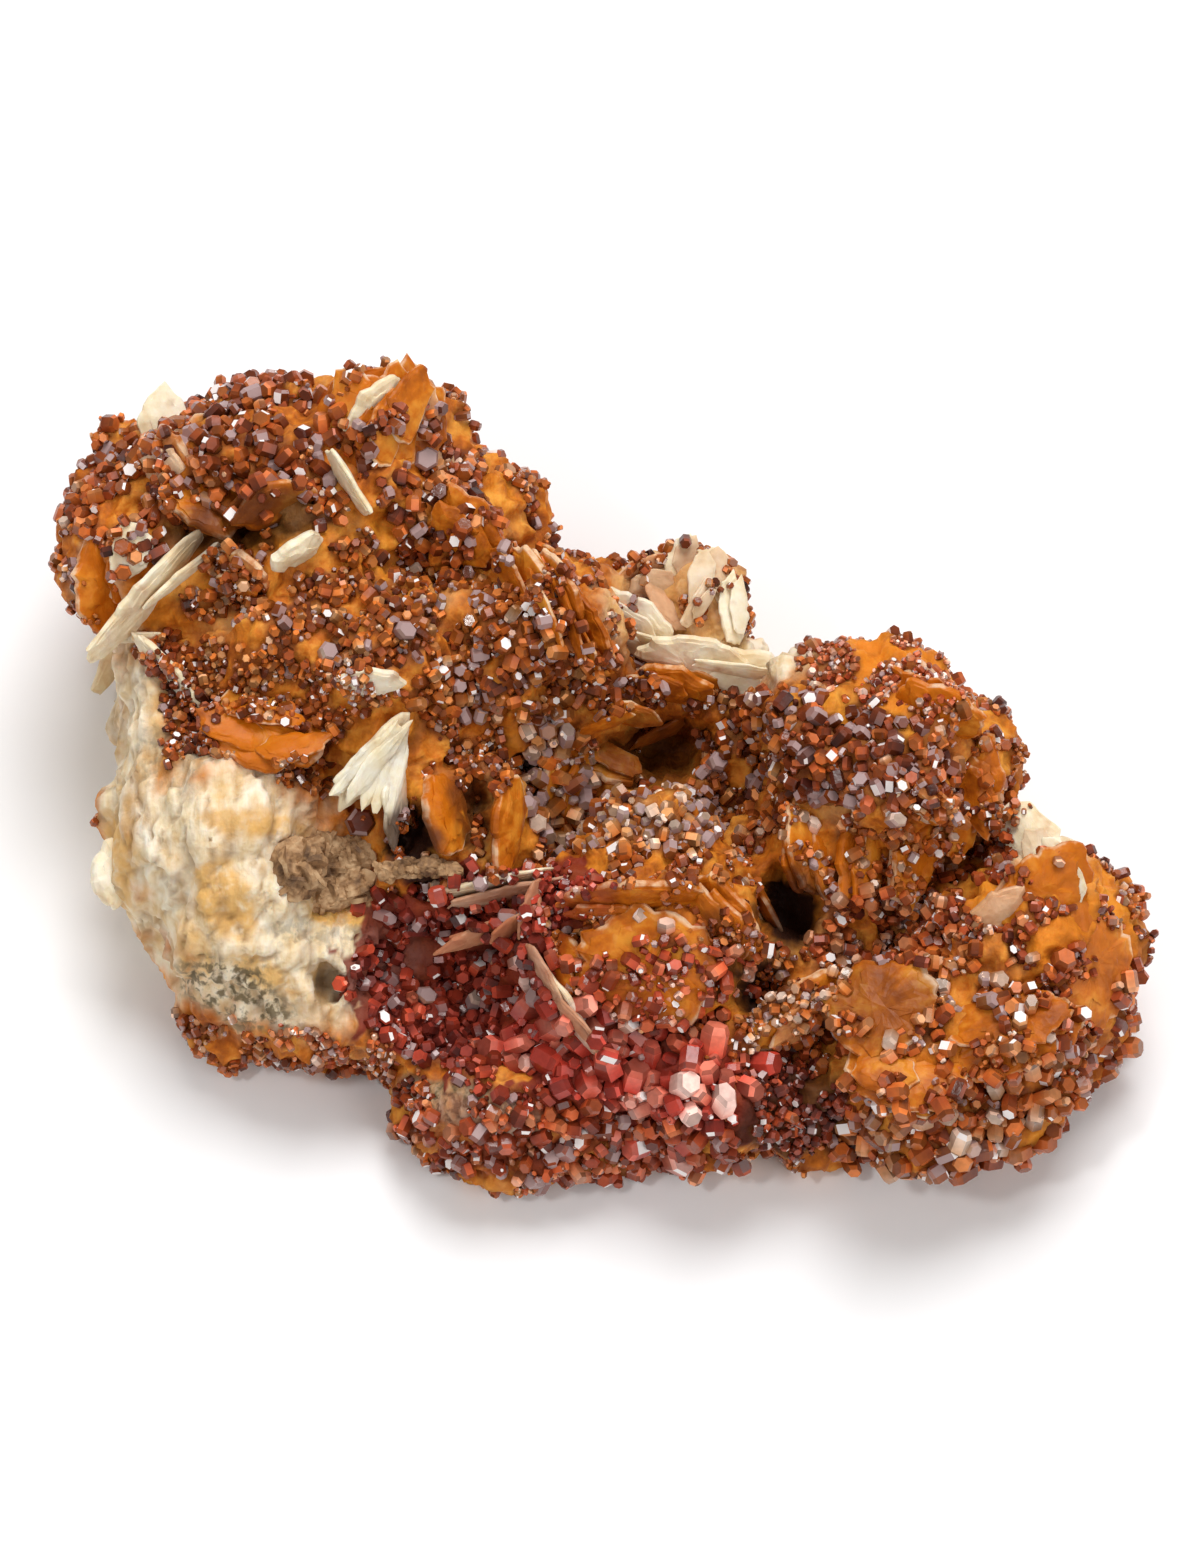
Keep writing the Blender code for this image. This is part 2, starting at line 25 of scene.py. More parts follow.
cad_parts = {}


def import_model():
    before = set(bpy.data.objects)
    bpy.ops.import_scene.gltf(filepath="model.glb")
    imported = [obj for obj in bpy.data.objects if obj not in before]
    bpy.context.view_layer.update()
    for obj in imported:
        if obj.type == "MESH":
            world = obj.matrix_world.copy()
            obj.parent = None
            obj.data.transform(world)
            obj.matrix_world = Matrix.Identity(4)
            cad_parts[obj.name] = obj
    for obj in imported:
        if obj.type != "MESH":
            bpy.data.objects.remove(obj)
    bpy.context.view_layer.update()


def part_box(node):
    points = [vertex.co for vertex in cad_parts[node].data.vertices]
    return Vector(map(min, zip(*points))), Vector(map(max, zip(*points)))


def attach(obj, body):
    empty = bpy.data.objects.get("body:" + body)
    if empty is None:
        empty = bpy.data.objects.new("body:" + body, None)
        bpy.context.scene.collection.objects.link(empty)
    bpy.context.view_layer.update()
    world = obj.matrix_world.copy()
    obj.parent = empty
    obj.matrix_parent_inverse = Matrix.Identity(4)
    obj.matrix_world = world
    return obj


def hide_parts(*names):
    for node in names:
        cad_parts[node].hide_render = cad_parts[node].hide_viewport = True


LOG = logging.getLogger("vanadinite_on_barite")

# Layout units are millimetres. The row frame is in metres, with its origin over the middle of the base.
UNIT = 0.001
BASE_MIDDLE = (0.1, -5.82)
# How far from the specimen a line of sight starts.
FAR = 200.0
BODY = "root"

Triple = tuple[float, float, float]
Color = Triple
Ramp = tuple[tuple[float, Color], ...]
Range = tuple[float, float]
Face = tuple[int, ...]
VECTOR, FLOAT, COLOR = "NodeSocketVector", "NodeSocketFloat", "NodeSocketColor"


class Side(Enum):
    """A direction that a blade or a druse is laid out from, as azimuth and elevation in degrees."""

    DISPLAY = (0.0, 65.0)
    BACK = (180.0, 15.0)
    LEFT = (-90.0, 25.0)
    RIGHT = (90.0, 25.0)


class Slot(Enum):
    """The record's material slots."""

    BARITE = "barite"
    BROWN_VANADINITE = "brown_vanadinite"
    RED_VANADINITE = "red_vanadinite"
    WEATHERED = "weathered_crystals"


class Mask(Enum):
    """The names of the numbers that each point of a mesh carries for its material."""

    CREAM = "cream"
    # Painted shade in the hollows and under ledges.
    PAINTED_SHADE = "painted_shade"
    RED = "red"
    GREEN = "green"
    OCHRE = "ochre"
    BRIGHT = "bright"
    # Painted shade among the crystals where they crust the barite.
    SHADE_AMONG_CRYSTALS = "shade_among_crystals"
    # Painted shade in the cracks.
    CRACK_SHADE = "crack_shade"
    RIM = "rim"
    # A blade's own tone; on crystals, each facet's painted light and shade and its painted glint.
    BLADE_TONE_AND_FACET_LIGHT = "shade"
    # A crystal's tone, with painted light toward its tip.
    TONE_AND_TIP_LIGHT = "tone"
    FROST = "frost"


class Lump(NamedTuple):
    """An ellipsoid: its middle on the display plane, height over the base, and radii."""

    across: float
    up: float
    height: float
    wide: float
    deep: float
    tall: float


class Blade(NamedTuple):
    """A tabular barite crystal, set on the surface where a line of sight meets it.

    Pale runs from 0 for amber to 1 for cream, and leaves is how many smaller crystals lie beside it.
    """

    across: float
    up: float
    length: float
    width: float
    thick: float
    heading: float
    roll: float
    proud: float
    pale: float
    leaves: int = 2
    side: Side = Side.DISPLAY


class Spot(NamedTuple):
    """An ellipse on the display plane, turned by degrees, with how strongly it marks the surface."""

    across: float
    up: float
    wide: float
    high: float
    turn: float = 0.0
    strength: float = 1.0


class Growth(NamedTuple):
    """An ellipse of vanadinite: its cover, and its crystals' width, tone, redness and frost."""

    across: float
    up: float
    wide: float
    high: float
    turn: float
    cover: float
    size: float
    tone: float
    red: float = 0.0
    frost: float = 0.1

    @property
    def traits(self) -> tuple[float, ...]:
        """Its cover, size, tone, redness and frost."""
        return self[5:]


class Crust(NamedTuple):
    """A crust of the frame, and how far it reaches: its half width and half height together."""

    node: str
    reach: float
    slot: Slot = Slot.BROWN_VANADINITE


class Gem(NamedTuple):
    """A large crystal given one by one: where, its width and height, how it points, and its colour."""

    across: float
    up: float
    width: float
    height: float
    heading: float
    lean: float
    tone: float
    red: float
    frost: float = 0.0


Row = TypeVar("Row")


def table(kind: Callable[..., Row], *rows: tuple[Any, ...]) -> tuple[Row, ...]:
    """Each row of values as a record of a kind."""
    return tuple(kind(*row) for row in rows)


LUMPS = table(
    Lump,
    # The upper left lobe and its tower.
    (-23, 17.3, 15, 14.3, 11, 13),
    (-32, 16.5, 14, 6.9, 9, 10),
    (-32, 23, 15, 4.8, 4.8, 7),
    (-25.5, 23.6, 16, 5.5, 4.3, 7),
    (-15.5, 23, 19, 5, 6, 8),
    (-10, 16, 16, 6.3, 6.6, 8.5),
    (-7, 9.2, 15, 9.2, 7.6, 10.5),
    (-18, 7, 14, 13, 9, 11.5),
    # The pale massive barite of the left.
    (-26.3, -4, 9, 8.5, 13.5, 12),
    (-31.3, 4, 9, 5, 9.5, 10),
    (-22, -13.3, 6, 9.6, 8.4, 8.5),
    (-13, -6, 8, 10, 10, 9),
    (-10.5, -16.5, 5, 10, 8.5, 7.5),
    # The low middle, between the crests.
    (6, 12, 11, 5, 4.2, 6),
    (1, 9.8, 8, 6.5, 5, 7.5),
    (4, 3, 6, 13, 8, 8),
    (4, -12, 10, 9, 9.5, 9),
    (-4, -23.8, 4, 10.4, 6.2, 6.5),
    (8, -22.5, 6, 7, 6, 7),
    # The right dome and the lobes below it.
    (15, -12, 6, 8, 12, 8),
    (20.5, 0.5, 13, 9, 9, 10.5),
    (25, 0, 11, 5.8, 6.8, 8.5),
    (31.4, -13, 9, 8, 7.8, 9),
    (26.5, -20.2, 7, 10, 8.2, 8.5),
    (15.5, -23.6, 4, 5.5, 5.2, 6),
    (34.3, -18, 6, 4.8, 5, 6),
    # The foot that all of it grew from.
    (-22, 11, 4, 14, 10, 10),
    (-24, -7.5, 3, 9.5, 11.5, 9),
    (-8, 2, 3, 14, 13, 9),
    (3, -15, 2, 13, 12.5, 8),
    (20, -8, 3, 12, 12.5, 9),
    (7, -4, 2, 8, 8, 7),
    (29, -16.5, 3, 7.5, 9, 7),
)

VUGS = table(
    Lump,
    (4.5, 2.2, 14, 5, 3, 7),
    (14, -9.7, 12, 2.6, 3, 6.5),
    (-13.3, -4.3, 16, 2.2, 2.6, 4.5),
    (-10.5, -15.5, 14, 6.5, 5.5, 4.5),
    (-9, -3, 18, 1.6, 3.4, 4.5),
    (12, -15.5, 13, 2.4, 1.8, 4),
    (-26.5, 18.5, 28, 5, 2.6, 2.5),
    (-9, 14, 26, 4, 2, 2.5),
)

# Hollows too small for the frame's solids.
SMALL_VUGS = table(
    Lump,
    (-19.6, -15.1, 10, 1.3, 1.6, 2.2),
    (-17.6, -2.3, 14, 1, 0.9, 1.5),
    (-11.2, -8.2, 12, 2.6, 0.8, 2),
    (-25.5, 18.6, 28, 2.6, 1.2, 1.5),
    (-34, 19, 24, 1.4, 1, 1.2),
    (0.5, 8.6, 14, 1.6, 0.9, 1.5),
    (24.5, -12.8, 10, 1.5, 0.9, 1.5),
    (8, -17.8, 10, 1.8, 0.7, 1.4),
    (-29.5, 3.2, 16, 1, 1.8, 1.6),
)

BLADES = table(
    Blade,
    # The pale blades of the left edge and the upper left crest.
    (-33, 13.2, 13.5, 4.5, 0.9, 49, 66, 1, 1, 0),
    (-34, 16.5, 5, 3.5, 1, 75, 20, 0.8, 1, 0),
    (-22, 16.3, 5, 3.5, 1.2, 33, 60, 0.8, 1, 0),
    (-18.2, 21.5, 7, 5, 0.7, -58, 78, 1.2, 0.9, 0),
    (-15.8, 27, 7, 5, 1, 52, 50, 0.8, 0.8, 0),
    (-32, 26.5, 6, 4, 1, 100, 10, -0.5, 1, 1),
    (-36.5, 14.5, 10, 6, 1.4, 82, 35, 0, 0.25),
    (-29, 20, 8, 5, 1.3, 150, 40, 0.8, 0.1),
    (-23.5, 20, 7, 4.5, 1.3, 20, 45, 0.8, 0.1),
    # The tower.
    (-13.6, 26, 9, 6, 1.4, 102, 18, 0, 0.35),
    (-17.5, 26, 9, 6, 1.4, 80, -15, 0, 0.15),
    (-15.2, 25.5, 10, 6, 1.2, 90, 30, 0.4, 0.3),
    (-9.5, 18.2, 8, 5, 1.4, -45, 25, 0, 0.3),
    # The leaves of the upper middle.
    (-4.5, 14, 9, 5, 1.2, -62, 55, 0.8, 0.1),
    (-2.6, 13, 9, 5, 1.1, -68, 62, 0.8, 0.15),
    (-1, 11.5, 8, 4.5, 1, -60, 58, 0.8, 0.2),
    (3, 11, 9, 5, 1, -33, 35, 1.2, 0.8),
    (7.5, 8.6, 10, 5, 1.2, -10, 45, 1.5, 1),
    (12, 7.3, 8, 5, 1.2, -14, 30, 0.8, 0.9),
    (6, 6.6, 7, 4, 1.2, -16, 50, 1.5, 0.2),
    # The ledge over the pale massive barite.
    (-24.5, 3.4, 11, 7, 1.6, 172, 30, 1.9, 0, 0),
    (-31.5, 7.5, 8, 3.4, 0.9, -50, 64, 0.8, 0.9, 0),
    (-16.2, 1.2, 9, 4.5, 0.9, 52, 55, 0.8, 1, 0),
    (-14.6, -1.2, 8, 4, 0.8, 84, 62, 0.8, 1, 0),
    (-11, -2.7, 7, 4.5, 1.6, 102, 50, 0.8, 0.05, 0),
    (-6.4, -3.8, 8, 4, 1.3, 84, 58, 1, 0.05, 0),
    (-16.5, 6.8, 5, 3.5, 1, 5, 55, 0.8, 0.9, 0),
    (-35.5, -7, 5.5, 4, 2, 80, 25, -0.5, 0.85, 0),
    # The thin walls round the red hollow.
    (-7.5, -7.9, 12, 5, 0.7, 13, 78, 1.6, 0.9, 0),
    (-8.6, -11.7, 6.5, 2.6, 0.6, 12, 58, 3.6, 0.56, 0),
    (-6.1, -10.9, 4.5, 2.4, 0.6, 36, 62, 3.7, 0.56, 0),
    (-4.4, -10.4, 5.5, 4, 0.7, -88, 76, 1.6, 0.6, 0),
    (-2.5, -16.5, 10.5, 5, 0.8, -56, 74, 1.4, 0.8, 0),
    # The lower middle.
    (2.5, -8.9, 11, 5.5, 1.3, 3, 62, 1, 0.1, 1),
    (4, -14, 11, 9, 1.6, 5, 8, 0.8, 0.05, 0),
    (9.6, -10.5, 9.5, 5.5, 1.5, -54, 48, 1.2, 0.15),
    (-1.4, -14.8, 7, 4, 1.2, -75, 48, 1, 0.2),
    (12, -9.5, 8, 5, 0.8, -58, 76, 0.8, 0.2),
    (1, 0.6, 5, 4, 1.2, 165, 55, 0.8, 0.1),
    (-2.4, 0, 9, 5, 1.6, 72, 55, 1.2, 0.1),
    # The lower right.
    (14.8, -17, 10, 5, 1.7, 34, 32, 1.2, 0.35),
    (20.8, -17, 10, 8, 1.6, 20, -20, 0.8, 0.25, 0),
    (22.5, -21.5, 10, 7, 1.5, 0, -32, 0.8, 0.1),
    (30, -18.5, 11, 7, 1.5, 25, -25, 0.8, 0.3),
    # The broad rounded blades of the far right.
    (36, -13.6, 11.5, 7.5, 1.8, 84, 22, 0, 0.46, 1),
    (32.5, -8.5, 9, 7, 1.5, 60, 18, -0.5, 0.4, 1),
    (29.5, -10, 5.6, 4.2, 1, 25, 34, 0.8, 0.6, 1),
    (32.2, -5, 8, 4.5, 1, -60, 10, -0.5, 0.95),
    (28, -0.5, 8, 5, 1.2, -85, 28, 0, 0.4),
    (24.8, 4.8, 8, 4.5, 1.3, -28, 38, 0.2, 0.1),
    # The leaves on the right dome.
    (15.5, -5.5, 8, 4.5, 1.3, 98, 48, 0.8, 0.1),
    (19, -6.5, 8, 4.5, 1.3, 88, 40, 0.8, 0.1),
    (23.5, -6, 8, 5, 1.3, 76, 42, 0.8, 0.1),
    (27, -3, 7, 4.5, 1.2, 66, 40, 0.8, 0.1),
    # The sides that the display view doesn't show.
    (-26, 5, 9, 5, 1.5, 60, 55, 0.2, 0.5, 2, Side.BACK),
    (-17, 8, 8, 5, 1.3, 80, 50, 0.2, 0.5, 2, Side.BACK),
    (-9, 4, 9, 5, 1.4, 110, 50, 0.2, 0.5, 2, Side.BACK),
    (-3, 5, 8, 5, 1.3, 100, 60, 0.2, 0.5, 2, Side.BACK),
    (4, 7, 8, 5, 1.2, 20, 60, 0.2, 0.5, 2, Side.BACK),
    (22, 8, 9, 5, 1.4, 130, 50, 0.2, 0.5, 2, Side.BACK),
    (28, 8, 8, 5, 1.3, 95, 60, 0.2, 0.5, 2, Side.BACK),
    (-14, 8, 9, 6, 1.5, 85, 40, -0.3, 0.5, 2, Side.LEFT),
    (-6, 10, 8, 5, 1.3, 70, 55, -0.3, 0.5, 2, Side.LEFT),
    (8, 6, 4, 2.5, 1, 105, 50, -4, 1, 0, Side.LEFT),
    (-12, 8, 8, 5, 1.5, 95, 45, -0.3, 0.5, 2, Side.RIGHT),
    (-2, 8, 8, 5, 1.3, 75, 55, -0.3, 0.5, 2, Side.RIGHT),
)

# Leaves too thin for the frame's solids, on the forms that the solids already have.
THIN_BLADES = table(
    Blade,
    (-16.4, 1.5, 8, 2, 0.5, 43, 28, 1.7, 1, 0),
    (-16, 1, 8, 2, 0.5, 52, 38, 2, 1, 0),
    (-15.5, 0.7, 8, 2, 0.5, 61, 24, 1.9, 1, 0),
    (-15, 0.5, 7.6, 1.9, 0.5, 70, 36, 2.1, 1, 0),
    (-14.5, 0.3, 7.4, 1.6, 0.5, 79, 30, 1.9, 1, 0),
    # Broken leaves on the orange face.
    (-26.6, 3.4, 6, 3.4, 0.6, 158, 26, 2.5, 0.05, 0),
    (-22.4, 2.2, 6.5, 3, 0.6, 190, 36, 2.6, 0.05, 0),
    (-24.4, 4.6, 7.5, 2.6, 0.5, 168, 42, 2.6, 0.1, 0),
    # The tower's flat top and sharp right rim, and the tip at the upper left.
    (-12.9, 27.6, 7, 3, 0.7, 96, 20, 0.6, 0.7, 0),
    (-15.4, 28.6, 6, 4, 0.8, 8, 12, -0.4, 0.3, 0),
    (-11.4, 23.4, 7, 2.4, 0.6, 108, 35, 0.8, 0.6, 0),
    (-36.5, 8.8, 7, 2.6, 0.7, 66, 50, 0.2, 0.95, 0),
    (-30.4, 14.6, 9, 1.6, 0.5, 40, 65, 1.8, 1, 0),
    (-32.2, 8.2, 8, 1.5, 0.5, -52, 60, 1.2, 0.95, 0),
    (-34, 10.2, 6, 1.4, 0.4, 5, 60, 1.2, 0.9, 0),
    (-16.5, 28, 5, 1.2, 0.4, 45, 60, 1.6, 0.75, 0),
    (-6.4, -8.6, 10.5, 2.4, 0.5, 12, 64, 3, 0.66, 0),
    (-8, -11.4, 8, 2.6, 0.7, 21, 55, 4.3, 0.58, 0),
    (-3.9, -14.2, 6.5, 2.4, 0.5, -62, 62, 3.5, 0.64, 0),
    (-1.4, -18, 6.5, 2.2, 0.5, -50, 60, 3, 0.6, 0),
    (-4.9, -9.6, 5, 2, 0.6, 70, 60, 4.2, 0.6, 0),
    (-34.8, 24.4, 6.5, 4.5, 1, 135, 10, -0.2, 0.1, 0),
    (2.4, 4.6, 5.5, 2.4, 0.6, -12, 40, 1.5, 0.1, 0),
    (4.8, 3.2, 5, 2, 0.5, 25, 55, 2.5, 0.2, 0),
    (0.6, 3.8, 5, 1.6, 0.4, 20, 50, 1.5, 0.1, 0),
    (1.4, 1.2, 5.5, 2.2, 0.6, 150, 30, 2.5, 0.1, 0),
    (3.4, 9.6, 8, 1.6, 0.4, -30, 50, 1.8, 1, 0),
    (6.4, 9.2, 9, 1.8, 0.5, -18, 55, 2, 1, 0),
    (10.6, 7.8, 8, 1.6, 0.4, -8, 50, 1.6, 0.95, 0),
    (-3.8, 12.4, 8, 1.6, 0.5, -65, 60, 1.8, 0.3, 0),
    (-1.8, 11, 7.5, 1.6, 0.5, -72, 60, 1.8, 0.35, 0),
    # Broken leaves on the pale lobe at the top.
    (3.2, 15.2, 5, 2.4, 0.6, 30, 40, 0.6, 0.55, 1),
    (6.2, 16, 5, 3, 0.6, 75, 30, 0.2, 0.8, 1),
    (9.2, 14.8, 5.5, 3, 0.6, 110, 30, 0.2, 0.75, 1),
    (10.2, 12.2, 5.5, 2.6, 0.6, 95, 35, 0.3, 0.85, 1),
    (7.6, 12.8, 4.5, 2.2, 0.5, 60, 50, 0.7, 0.7, 1),
    (5, 12.8, 5, 2.4, 0.5, 130, 45, 0.7, 0.6, 1),
    (4.2, 14.2, 4, 2.6, 0.5, 10, 20, 0.5, 0.65, 1),
    (7.8, 14.8, 4.5, 2.4, 0.5, 85, 25, 0.6, 0.72, 1),
    # The pale rim of the far right.
    (31, -4.8, 7, 2.6, 0.5, -52, 20, 0.6, 0.95, 0),
    (34, -6.6, 6, 2.4, 0.5, -58, 20, 0.6, 0.9, 0),
)

# Where the surface is pale, in painted shade, red-stained, green, ochre or bright orange, on the display
# plane.
CREAM_SPOTS = table(
    Spot,
    (-28, -6.8, 9.5, 9.4),
    (-22.5, -13, 9, 6),
    (-34.4, 1.5, 3, 8.5),
    (6.5, 13, 6, 5, 0, 0.62),
    (10, 8.5, 6, 2.4),
    (33.5, -4.5, 3.5, 3),
    (-32, 27.5, 3, 2.5),
    (-35, 9, 2.5, 4, 40, 0.8),
    (-37, 7, 3, 5, 0, 0.9),
    (-9, -24.3, 6, 1.7, -15, 0.6),
    (-36.8, 12, 2.4, 5, 0, 0.55),
    (-2.2, -16.5, 1, 4.5, 30, 0.5),
)
OCHRE_SPOTS = table(
    Spot,
    (-27, -9, 2.4, 3.6, 20, 0.9),
    (-25.2, -3.4, 3.4, 1, -5, 0.8),
    (-19, -10.1, 3, 1.1, -10),
    (-29.5, -12.5, 1.5, 2.6, 20, 0.6),
    (-24, -14.6, 3.6, 0.9, -30, 0.8),
    (-35.8, -7, 2.2, 3.6, 0, 0.8),
    (-31, 5, 2, 2, 0, 0.5),
    (6.5, 13, 6, 5, 0, 0.75),
)
BRIGHT_SPOTS = table(
    Spot,
    (22.5, 7.8, 5.5, 2.8, -15),
    (-24.5, 2.9, 4.8, 2.4, -6),
    (-17, 28.6, 2, 1.4),
    (-36, 13.5, 2.6, 4, 0, 0.6),
    (-11.5, -3, 1.6, 3.2, 12, 0.7),
    (18.5, -6.8, 6, 2.6, -8, 0.6),
    (29, -9, 2.6, 1.6, -20, 0.6),
    (24, -19.5, 4, 2, -15, 0.7),
    (8.5, -10.5, 1.8, 4.5, 35, 0.6),
    (-31, 21, 2, 1.5, 0, 0.6),
    (-27.8, 1.8, 2.6, 2),
    (34.5, -10.5, 5, 6, 0, 0.6),
)
# Where no vanadinite grows.
BARE_SPOTS = table(
    Spot,
    (-28, -7.4, 10.5, 8.8),
    (-34.6, 1, 3, 8),
    (-24.5, -12.5, 6.6, 6),
    (-16, 0.7, 3.2, 5.2, -27),
    (-33.3, 12.8, 1.9, 7.4, -40),
    (-37, 6.5, 2.6, 4.6),
    (-22, 16.3, 2.9, 1.4, 33),
    (-18.2, 21.5, 4, 1, -58),
    (-32.8, 28, 2.6, 2.2),
    (-20, -7, 5.2, 3.6),
    (-16.2, 28.3, 3.2, 1.5, 45),
    (-25.5, 18.7, 5, 1.9, 5, 0.6),
    (4.2, 1.8, 4.2, 3.6, 0, 0.55),
    (-19.9, 29, 1.8, 1.4),
    (14.2, -9.7, 2.9, 3.1),
    (8.5, 8.8, 6.8, 2.2, -12),
    (-11, -2.9, 2.1, 3.4, 12),
    (-6.4, -4, 2, 3.4, -5),
    (-24.4, 2.6, 3.8, 1.3, -6),
    (20.8, -16.2, 3, 1.5, 10),
    (6.5, 13.2, 6, 4.2, 0, 0.25),
    (22, 8.5, 4, 1.6, -15, 0.06),
    (29, -9.2, 2.4, 1.5, -20),
    (36, -12, 2.6, 5, 0, 0.12),
    (33, -5.5, 3.5, 2.5, -30, 0.35),
    (-8, -8.5, 5.4, 0.9, 13, 0.5),
    (-8.2, -11.7, 4.4, 0.9, 20, 0.5),
    (-4.6, -9.8, 0.8, 2, 0, 0.5),
    (-2.4, -16.2, 5, 0.9, -58, 0.5),
)
# Painted shade: darkening in the hollows, under ledges and at the lower edge.
PAINTED_SHADE_SPOTS = table(
    Spot,
    (21, -17, 5, 3.5, 10, 0.5),
    (5, -18.5, 5, 1.5, 0, 0.4),
    (4.4, 1.4, 4.2, 3.2, 0, 0.62),
    (14.2, -9.7, 2.6, 3),
    (-13.3, -4.5, 2.4, 2.6),
    (12, -15.4, 2.6, 2.2),
    (-11.5, -7.3, 3.2, 1.2),
    (14.5, -24.5, 4.5, 4, 0, 0.8),
    (-19.5, -15.2, 1.2, 1.5, 0, 0.6),
    (-26, 18.6, 6, 2.4, 10, 0.8),
    (-9, -3, 1.6, 3.4, 10, 0.8),
    (9.5, -12.5, 1.4, 4, 30, 0.7),
)
RED_SPOTS = table(
    Spot,
    (-10.5, -14.5, 8.5, 8),
    (2.5, -21, 12, 5, -12),
    (-4.5, -9.5, 6, 3, 15),
    (-6, -26, 10, 4, 0, 0.5),
)
GREEN_SPOTS = table(
    Spot,
    (-26.5, -16, 4.8, 2.4, -30, 0.95),
    (-8.7, -24.4, 6.5, 1.7, -15, 0.95),
    (-20, -11.5, 4, 1.6, 0, 0.4),
    (-31, 1, 3, 3, 0, 0.4),
)

# The cover of vanadinite crystals, from the photograph's upper left to its lower right.
GROWTHS = table(
    Growth,
    (-24, 24, 9.5, 5.5, 0, 0.7, 1.5, 0.33, 0.1, 0.17),
    (-34, 20, 5, 7, 0, 0.59, 1.4, 0.37, 0.1, 0.08),
    (-37, 13.5, 3.5, 6, 10, 0.33, 1, 0.5, 0, 0.12),
    (-12, 22, 5, 8, 20, 0.41, 1.4, 0.32, 0.1, 0.11),
    (-20, 12, 14, 5.5, -8, 0.59, 1.1, 0.42, 0, 0.07),
    (-8, 8.5, 8.5, 5, -10, 0.67, 1.3, 0.43, 0, 0.17),
    (-24, 7.5, 9, 3, -5, 0.67, 0.9, 0.42, 0, 0.04),
    (-30.4, 5.4, 2.6, 4.4, 20, 0.78, 1, 0.22, 0.1, 0.06),
    (-22.5, 0.4, 8.5, 1.4, -5, 0.7, 0.9, 0.45, 0, 0.06),
    (-11, 1.5, 8, 3.2, -8, 0.63, 1, 0.38, 0, 0.08),
    (-3, 0, 2.4, 5, 10, 0.8, 1.5, 0.76, 0, 0.45),
    (4.5, -3.3, 7, 2.2, 8, 0.78, 1.3, 0.68, 0, 0.5),
    (11, 1, 4, 5.5, 0, 0.63, 1.2, 0.36, 0, 0.19),
    (3.5, 5.6, 6, 1.6, -10, 0.63, 1.1, 0.34, 0, 0.11),
    (22, 7, 6, 3.2, -15, 0.6, 0.75, 0.58, 0.45, 0.03),
    (19, 1.5, 7, 4.5, -10, 0.8, 1.4, 0.26, 0.15, 0.4),
    (27.5, 3.5, 3, 5, 20, 0.37, 1.2, 0.45, 0.1, 0.06),
    (18, -5, 9, 3.8, -5, 0.4, 1.1, 0.54, 0.1, 0.06),
    (20, -10.5, 7, 3.4, -10, 0.6, 1.3, 0.5, 0.3, 0.15),
    (33, -11, 7, 7, 0, 0.43, 1.1, 0.32, 0.25, 0.06),
    (29, -15, 5.5, 3, -10, 0.67, 1.5, 0.6, 0.1, 0.18),
    (22, -20, 8, 4, -10, 0.33, 1.4, 0.46, 0.15, 0.05),
    (28, -25.5, 11, 4, 8, 0.74, 1.8, 0.52, 0.15, 0.1),
    (37, -19, 4.5, 5.5, 0, 0.6, 1.6, 0.44, 0.25, 0.11),
    (14.8, -16.8, 5, 1.7, 34, 0.67, 1, 0.68, 0.1, 0.11),
    (4, -14.8, 6.5, 4.4, 0, 0.66, 1.4, 0.49, 0.6, 0.03),
    (-10.5, -14.5, 8.5, 7, 0, 0.7, 1.4, 0.16, 0.8, 0.1),
    (1, -20.5, 11, 3.6, -22, 0.74, 1.9, 0.5, 1, 0.03),
    (-6, -9.5, 6.5, 2.4, 15, 0.67, 1, 0.3, 0.9, 0.06),
    (-2, -26.5, 12, 3.4, -3, 0.74, 1.6, 0.4, 0.45, 0.14),
    (-6.5, -22.6, 4.5, 1.8, -15, 0.74, 1.4, 0.3, 0.7, 0.05),
    (-8.7, -24.2, 6.5, 1.6, -15, 0.4, 1, 0.34, 0.3, 0.08),
    (-5.6, -14.8, 1.4, 2.6, 15, 0.85, 0.9, 0.88, 1, 0.05),
    (14, -23.5, 4.5, 4, 0, 0.62, 1.1, 0.14, 0.45, 0.03),
    (-20.5, -19, 8, 2.2, -22, 0.52, 0.9, 0.55, 0.3, 0.03),
    (-15, -7, 3, 1.6, 0, 0.52, 0.7, 0.3, 0.1, 0.03),
    (8, 14.2, 1.8, 2.2, 0, 0.5, 0.8, 0.44, 0, 0.1),
    # Barite that is nearly bare.
    (-16, 19.5, 2.4, 3.4, 0, 0.12, 0.8, 0.45),
    (-14.5, 28, 3.2, 2, 30, 0.1, 0.8, 0.45),
    (18, -6.5, 6, 2.2, -10, 0.22, 0.9, 0.5),
    (3, -12, 6, 2.6, 0, 0.15, 0.9, 0.5),
    (21, -16, 4.5, 2.6, 10, 0.25, 1, 0.5),
    (36.5, -11, 3.5, 5, 0, 0.22, 0.8, 0.5),
)
# Cover outside all growths: on the display side, and on the sides that it turns away from.
LEAST_COVER = Growth(0, 0, 0, 0, 0, 0.4, 1, 0.42, 0.05, 0.08)
FLANK_COVER = Growth(0, 0, 0, 0, 0, 0.25, 1.1, 0.4, 0.05, 0.06)

# The shares of an ellipse where its mark starts and where it is full, and how uneven its outline is.
SPOT_EDGE = (1.15, 0.7)
SPOT_RAGGED = 0.35
GROWTH_EDGE = (1.15, 0.75)
GROWTH_RAGGED = 0.25
# Growths that overlap: the least weight that one needs, and how much luck takes from it.
LEAST_WEIGHT = 0.5
LUCK = 0.3
# How far a surface may turn away from the viewer and still be marked, or be covered as the display side is.
TURNED_AWAY = (-0.35, 0.0)
COVERED_AWAY = -0.15
PATCH_SCALE = 0.42

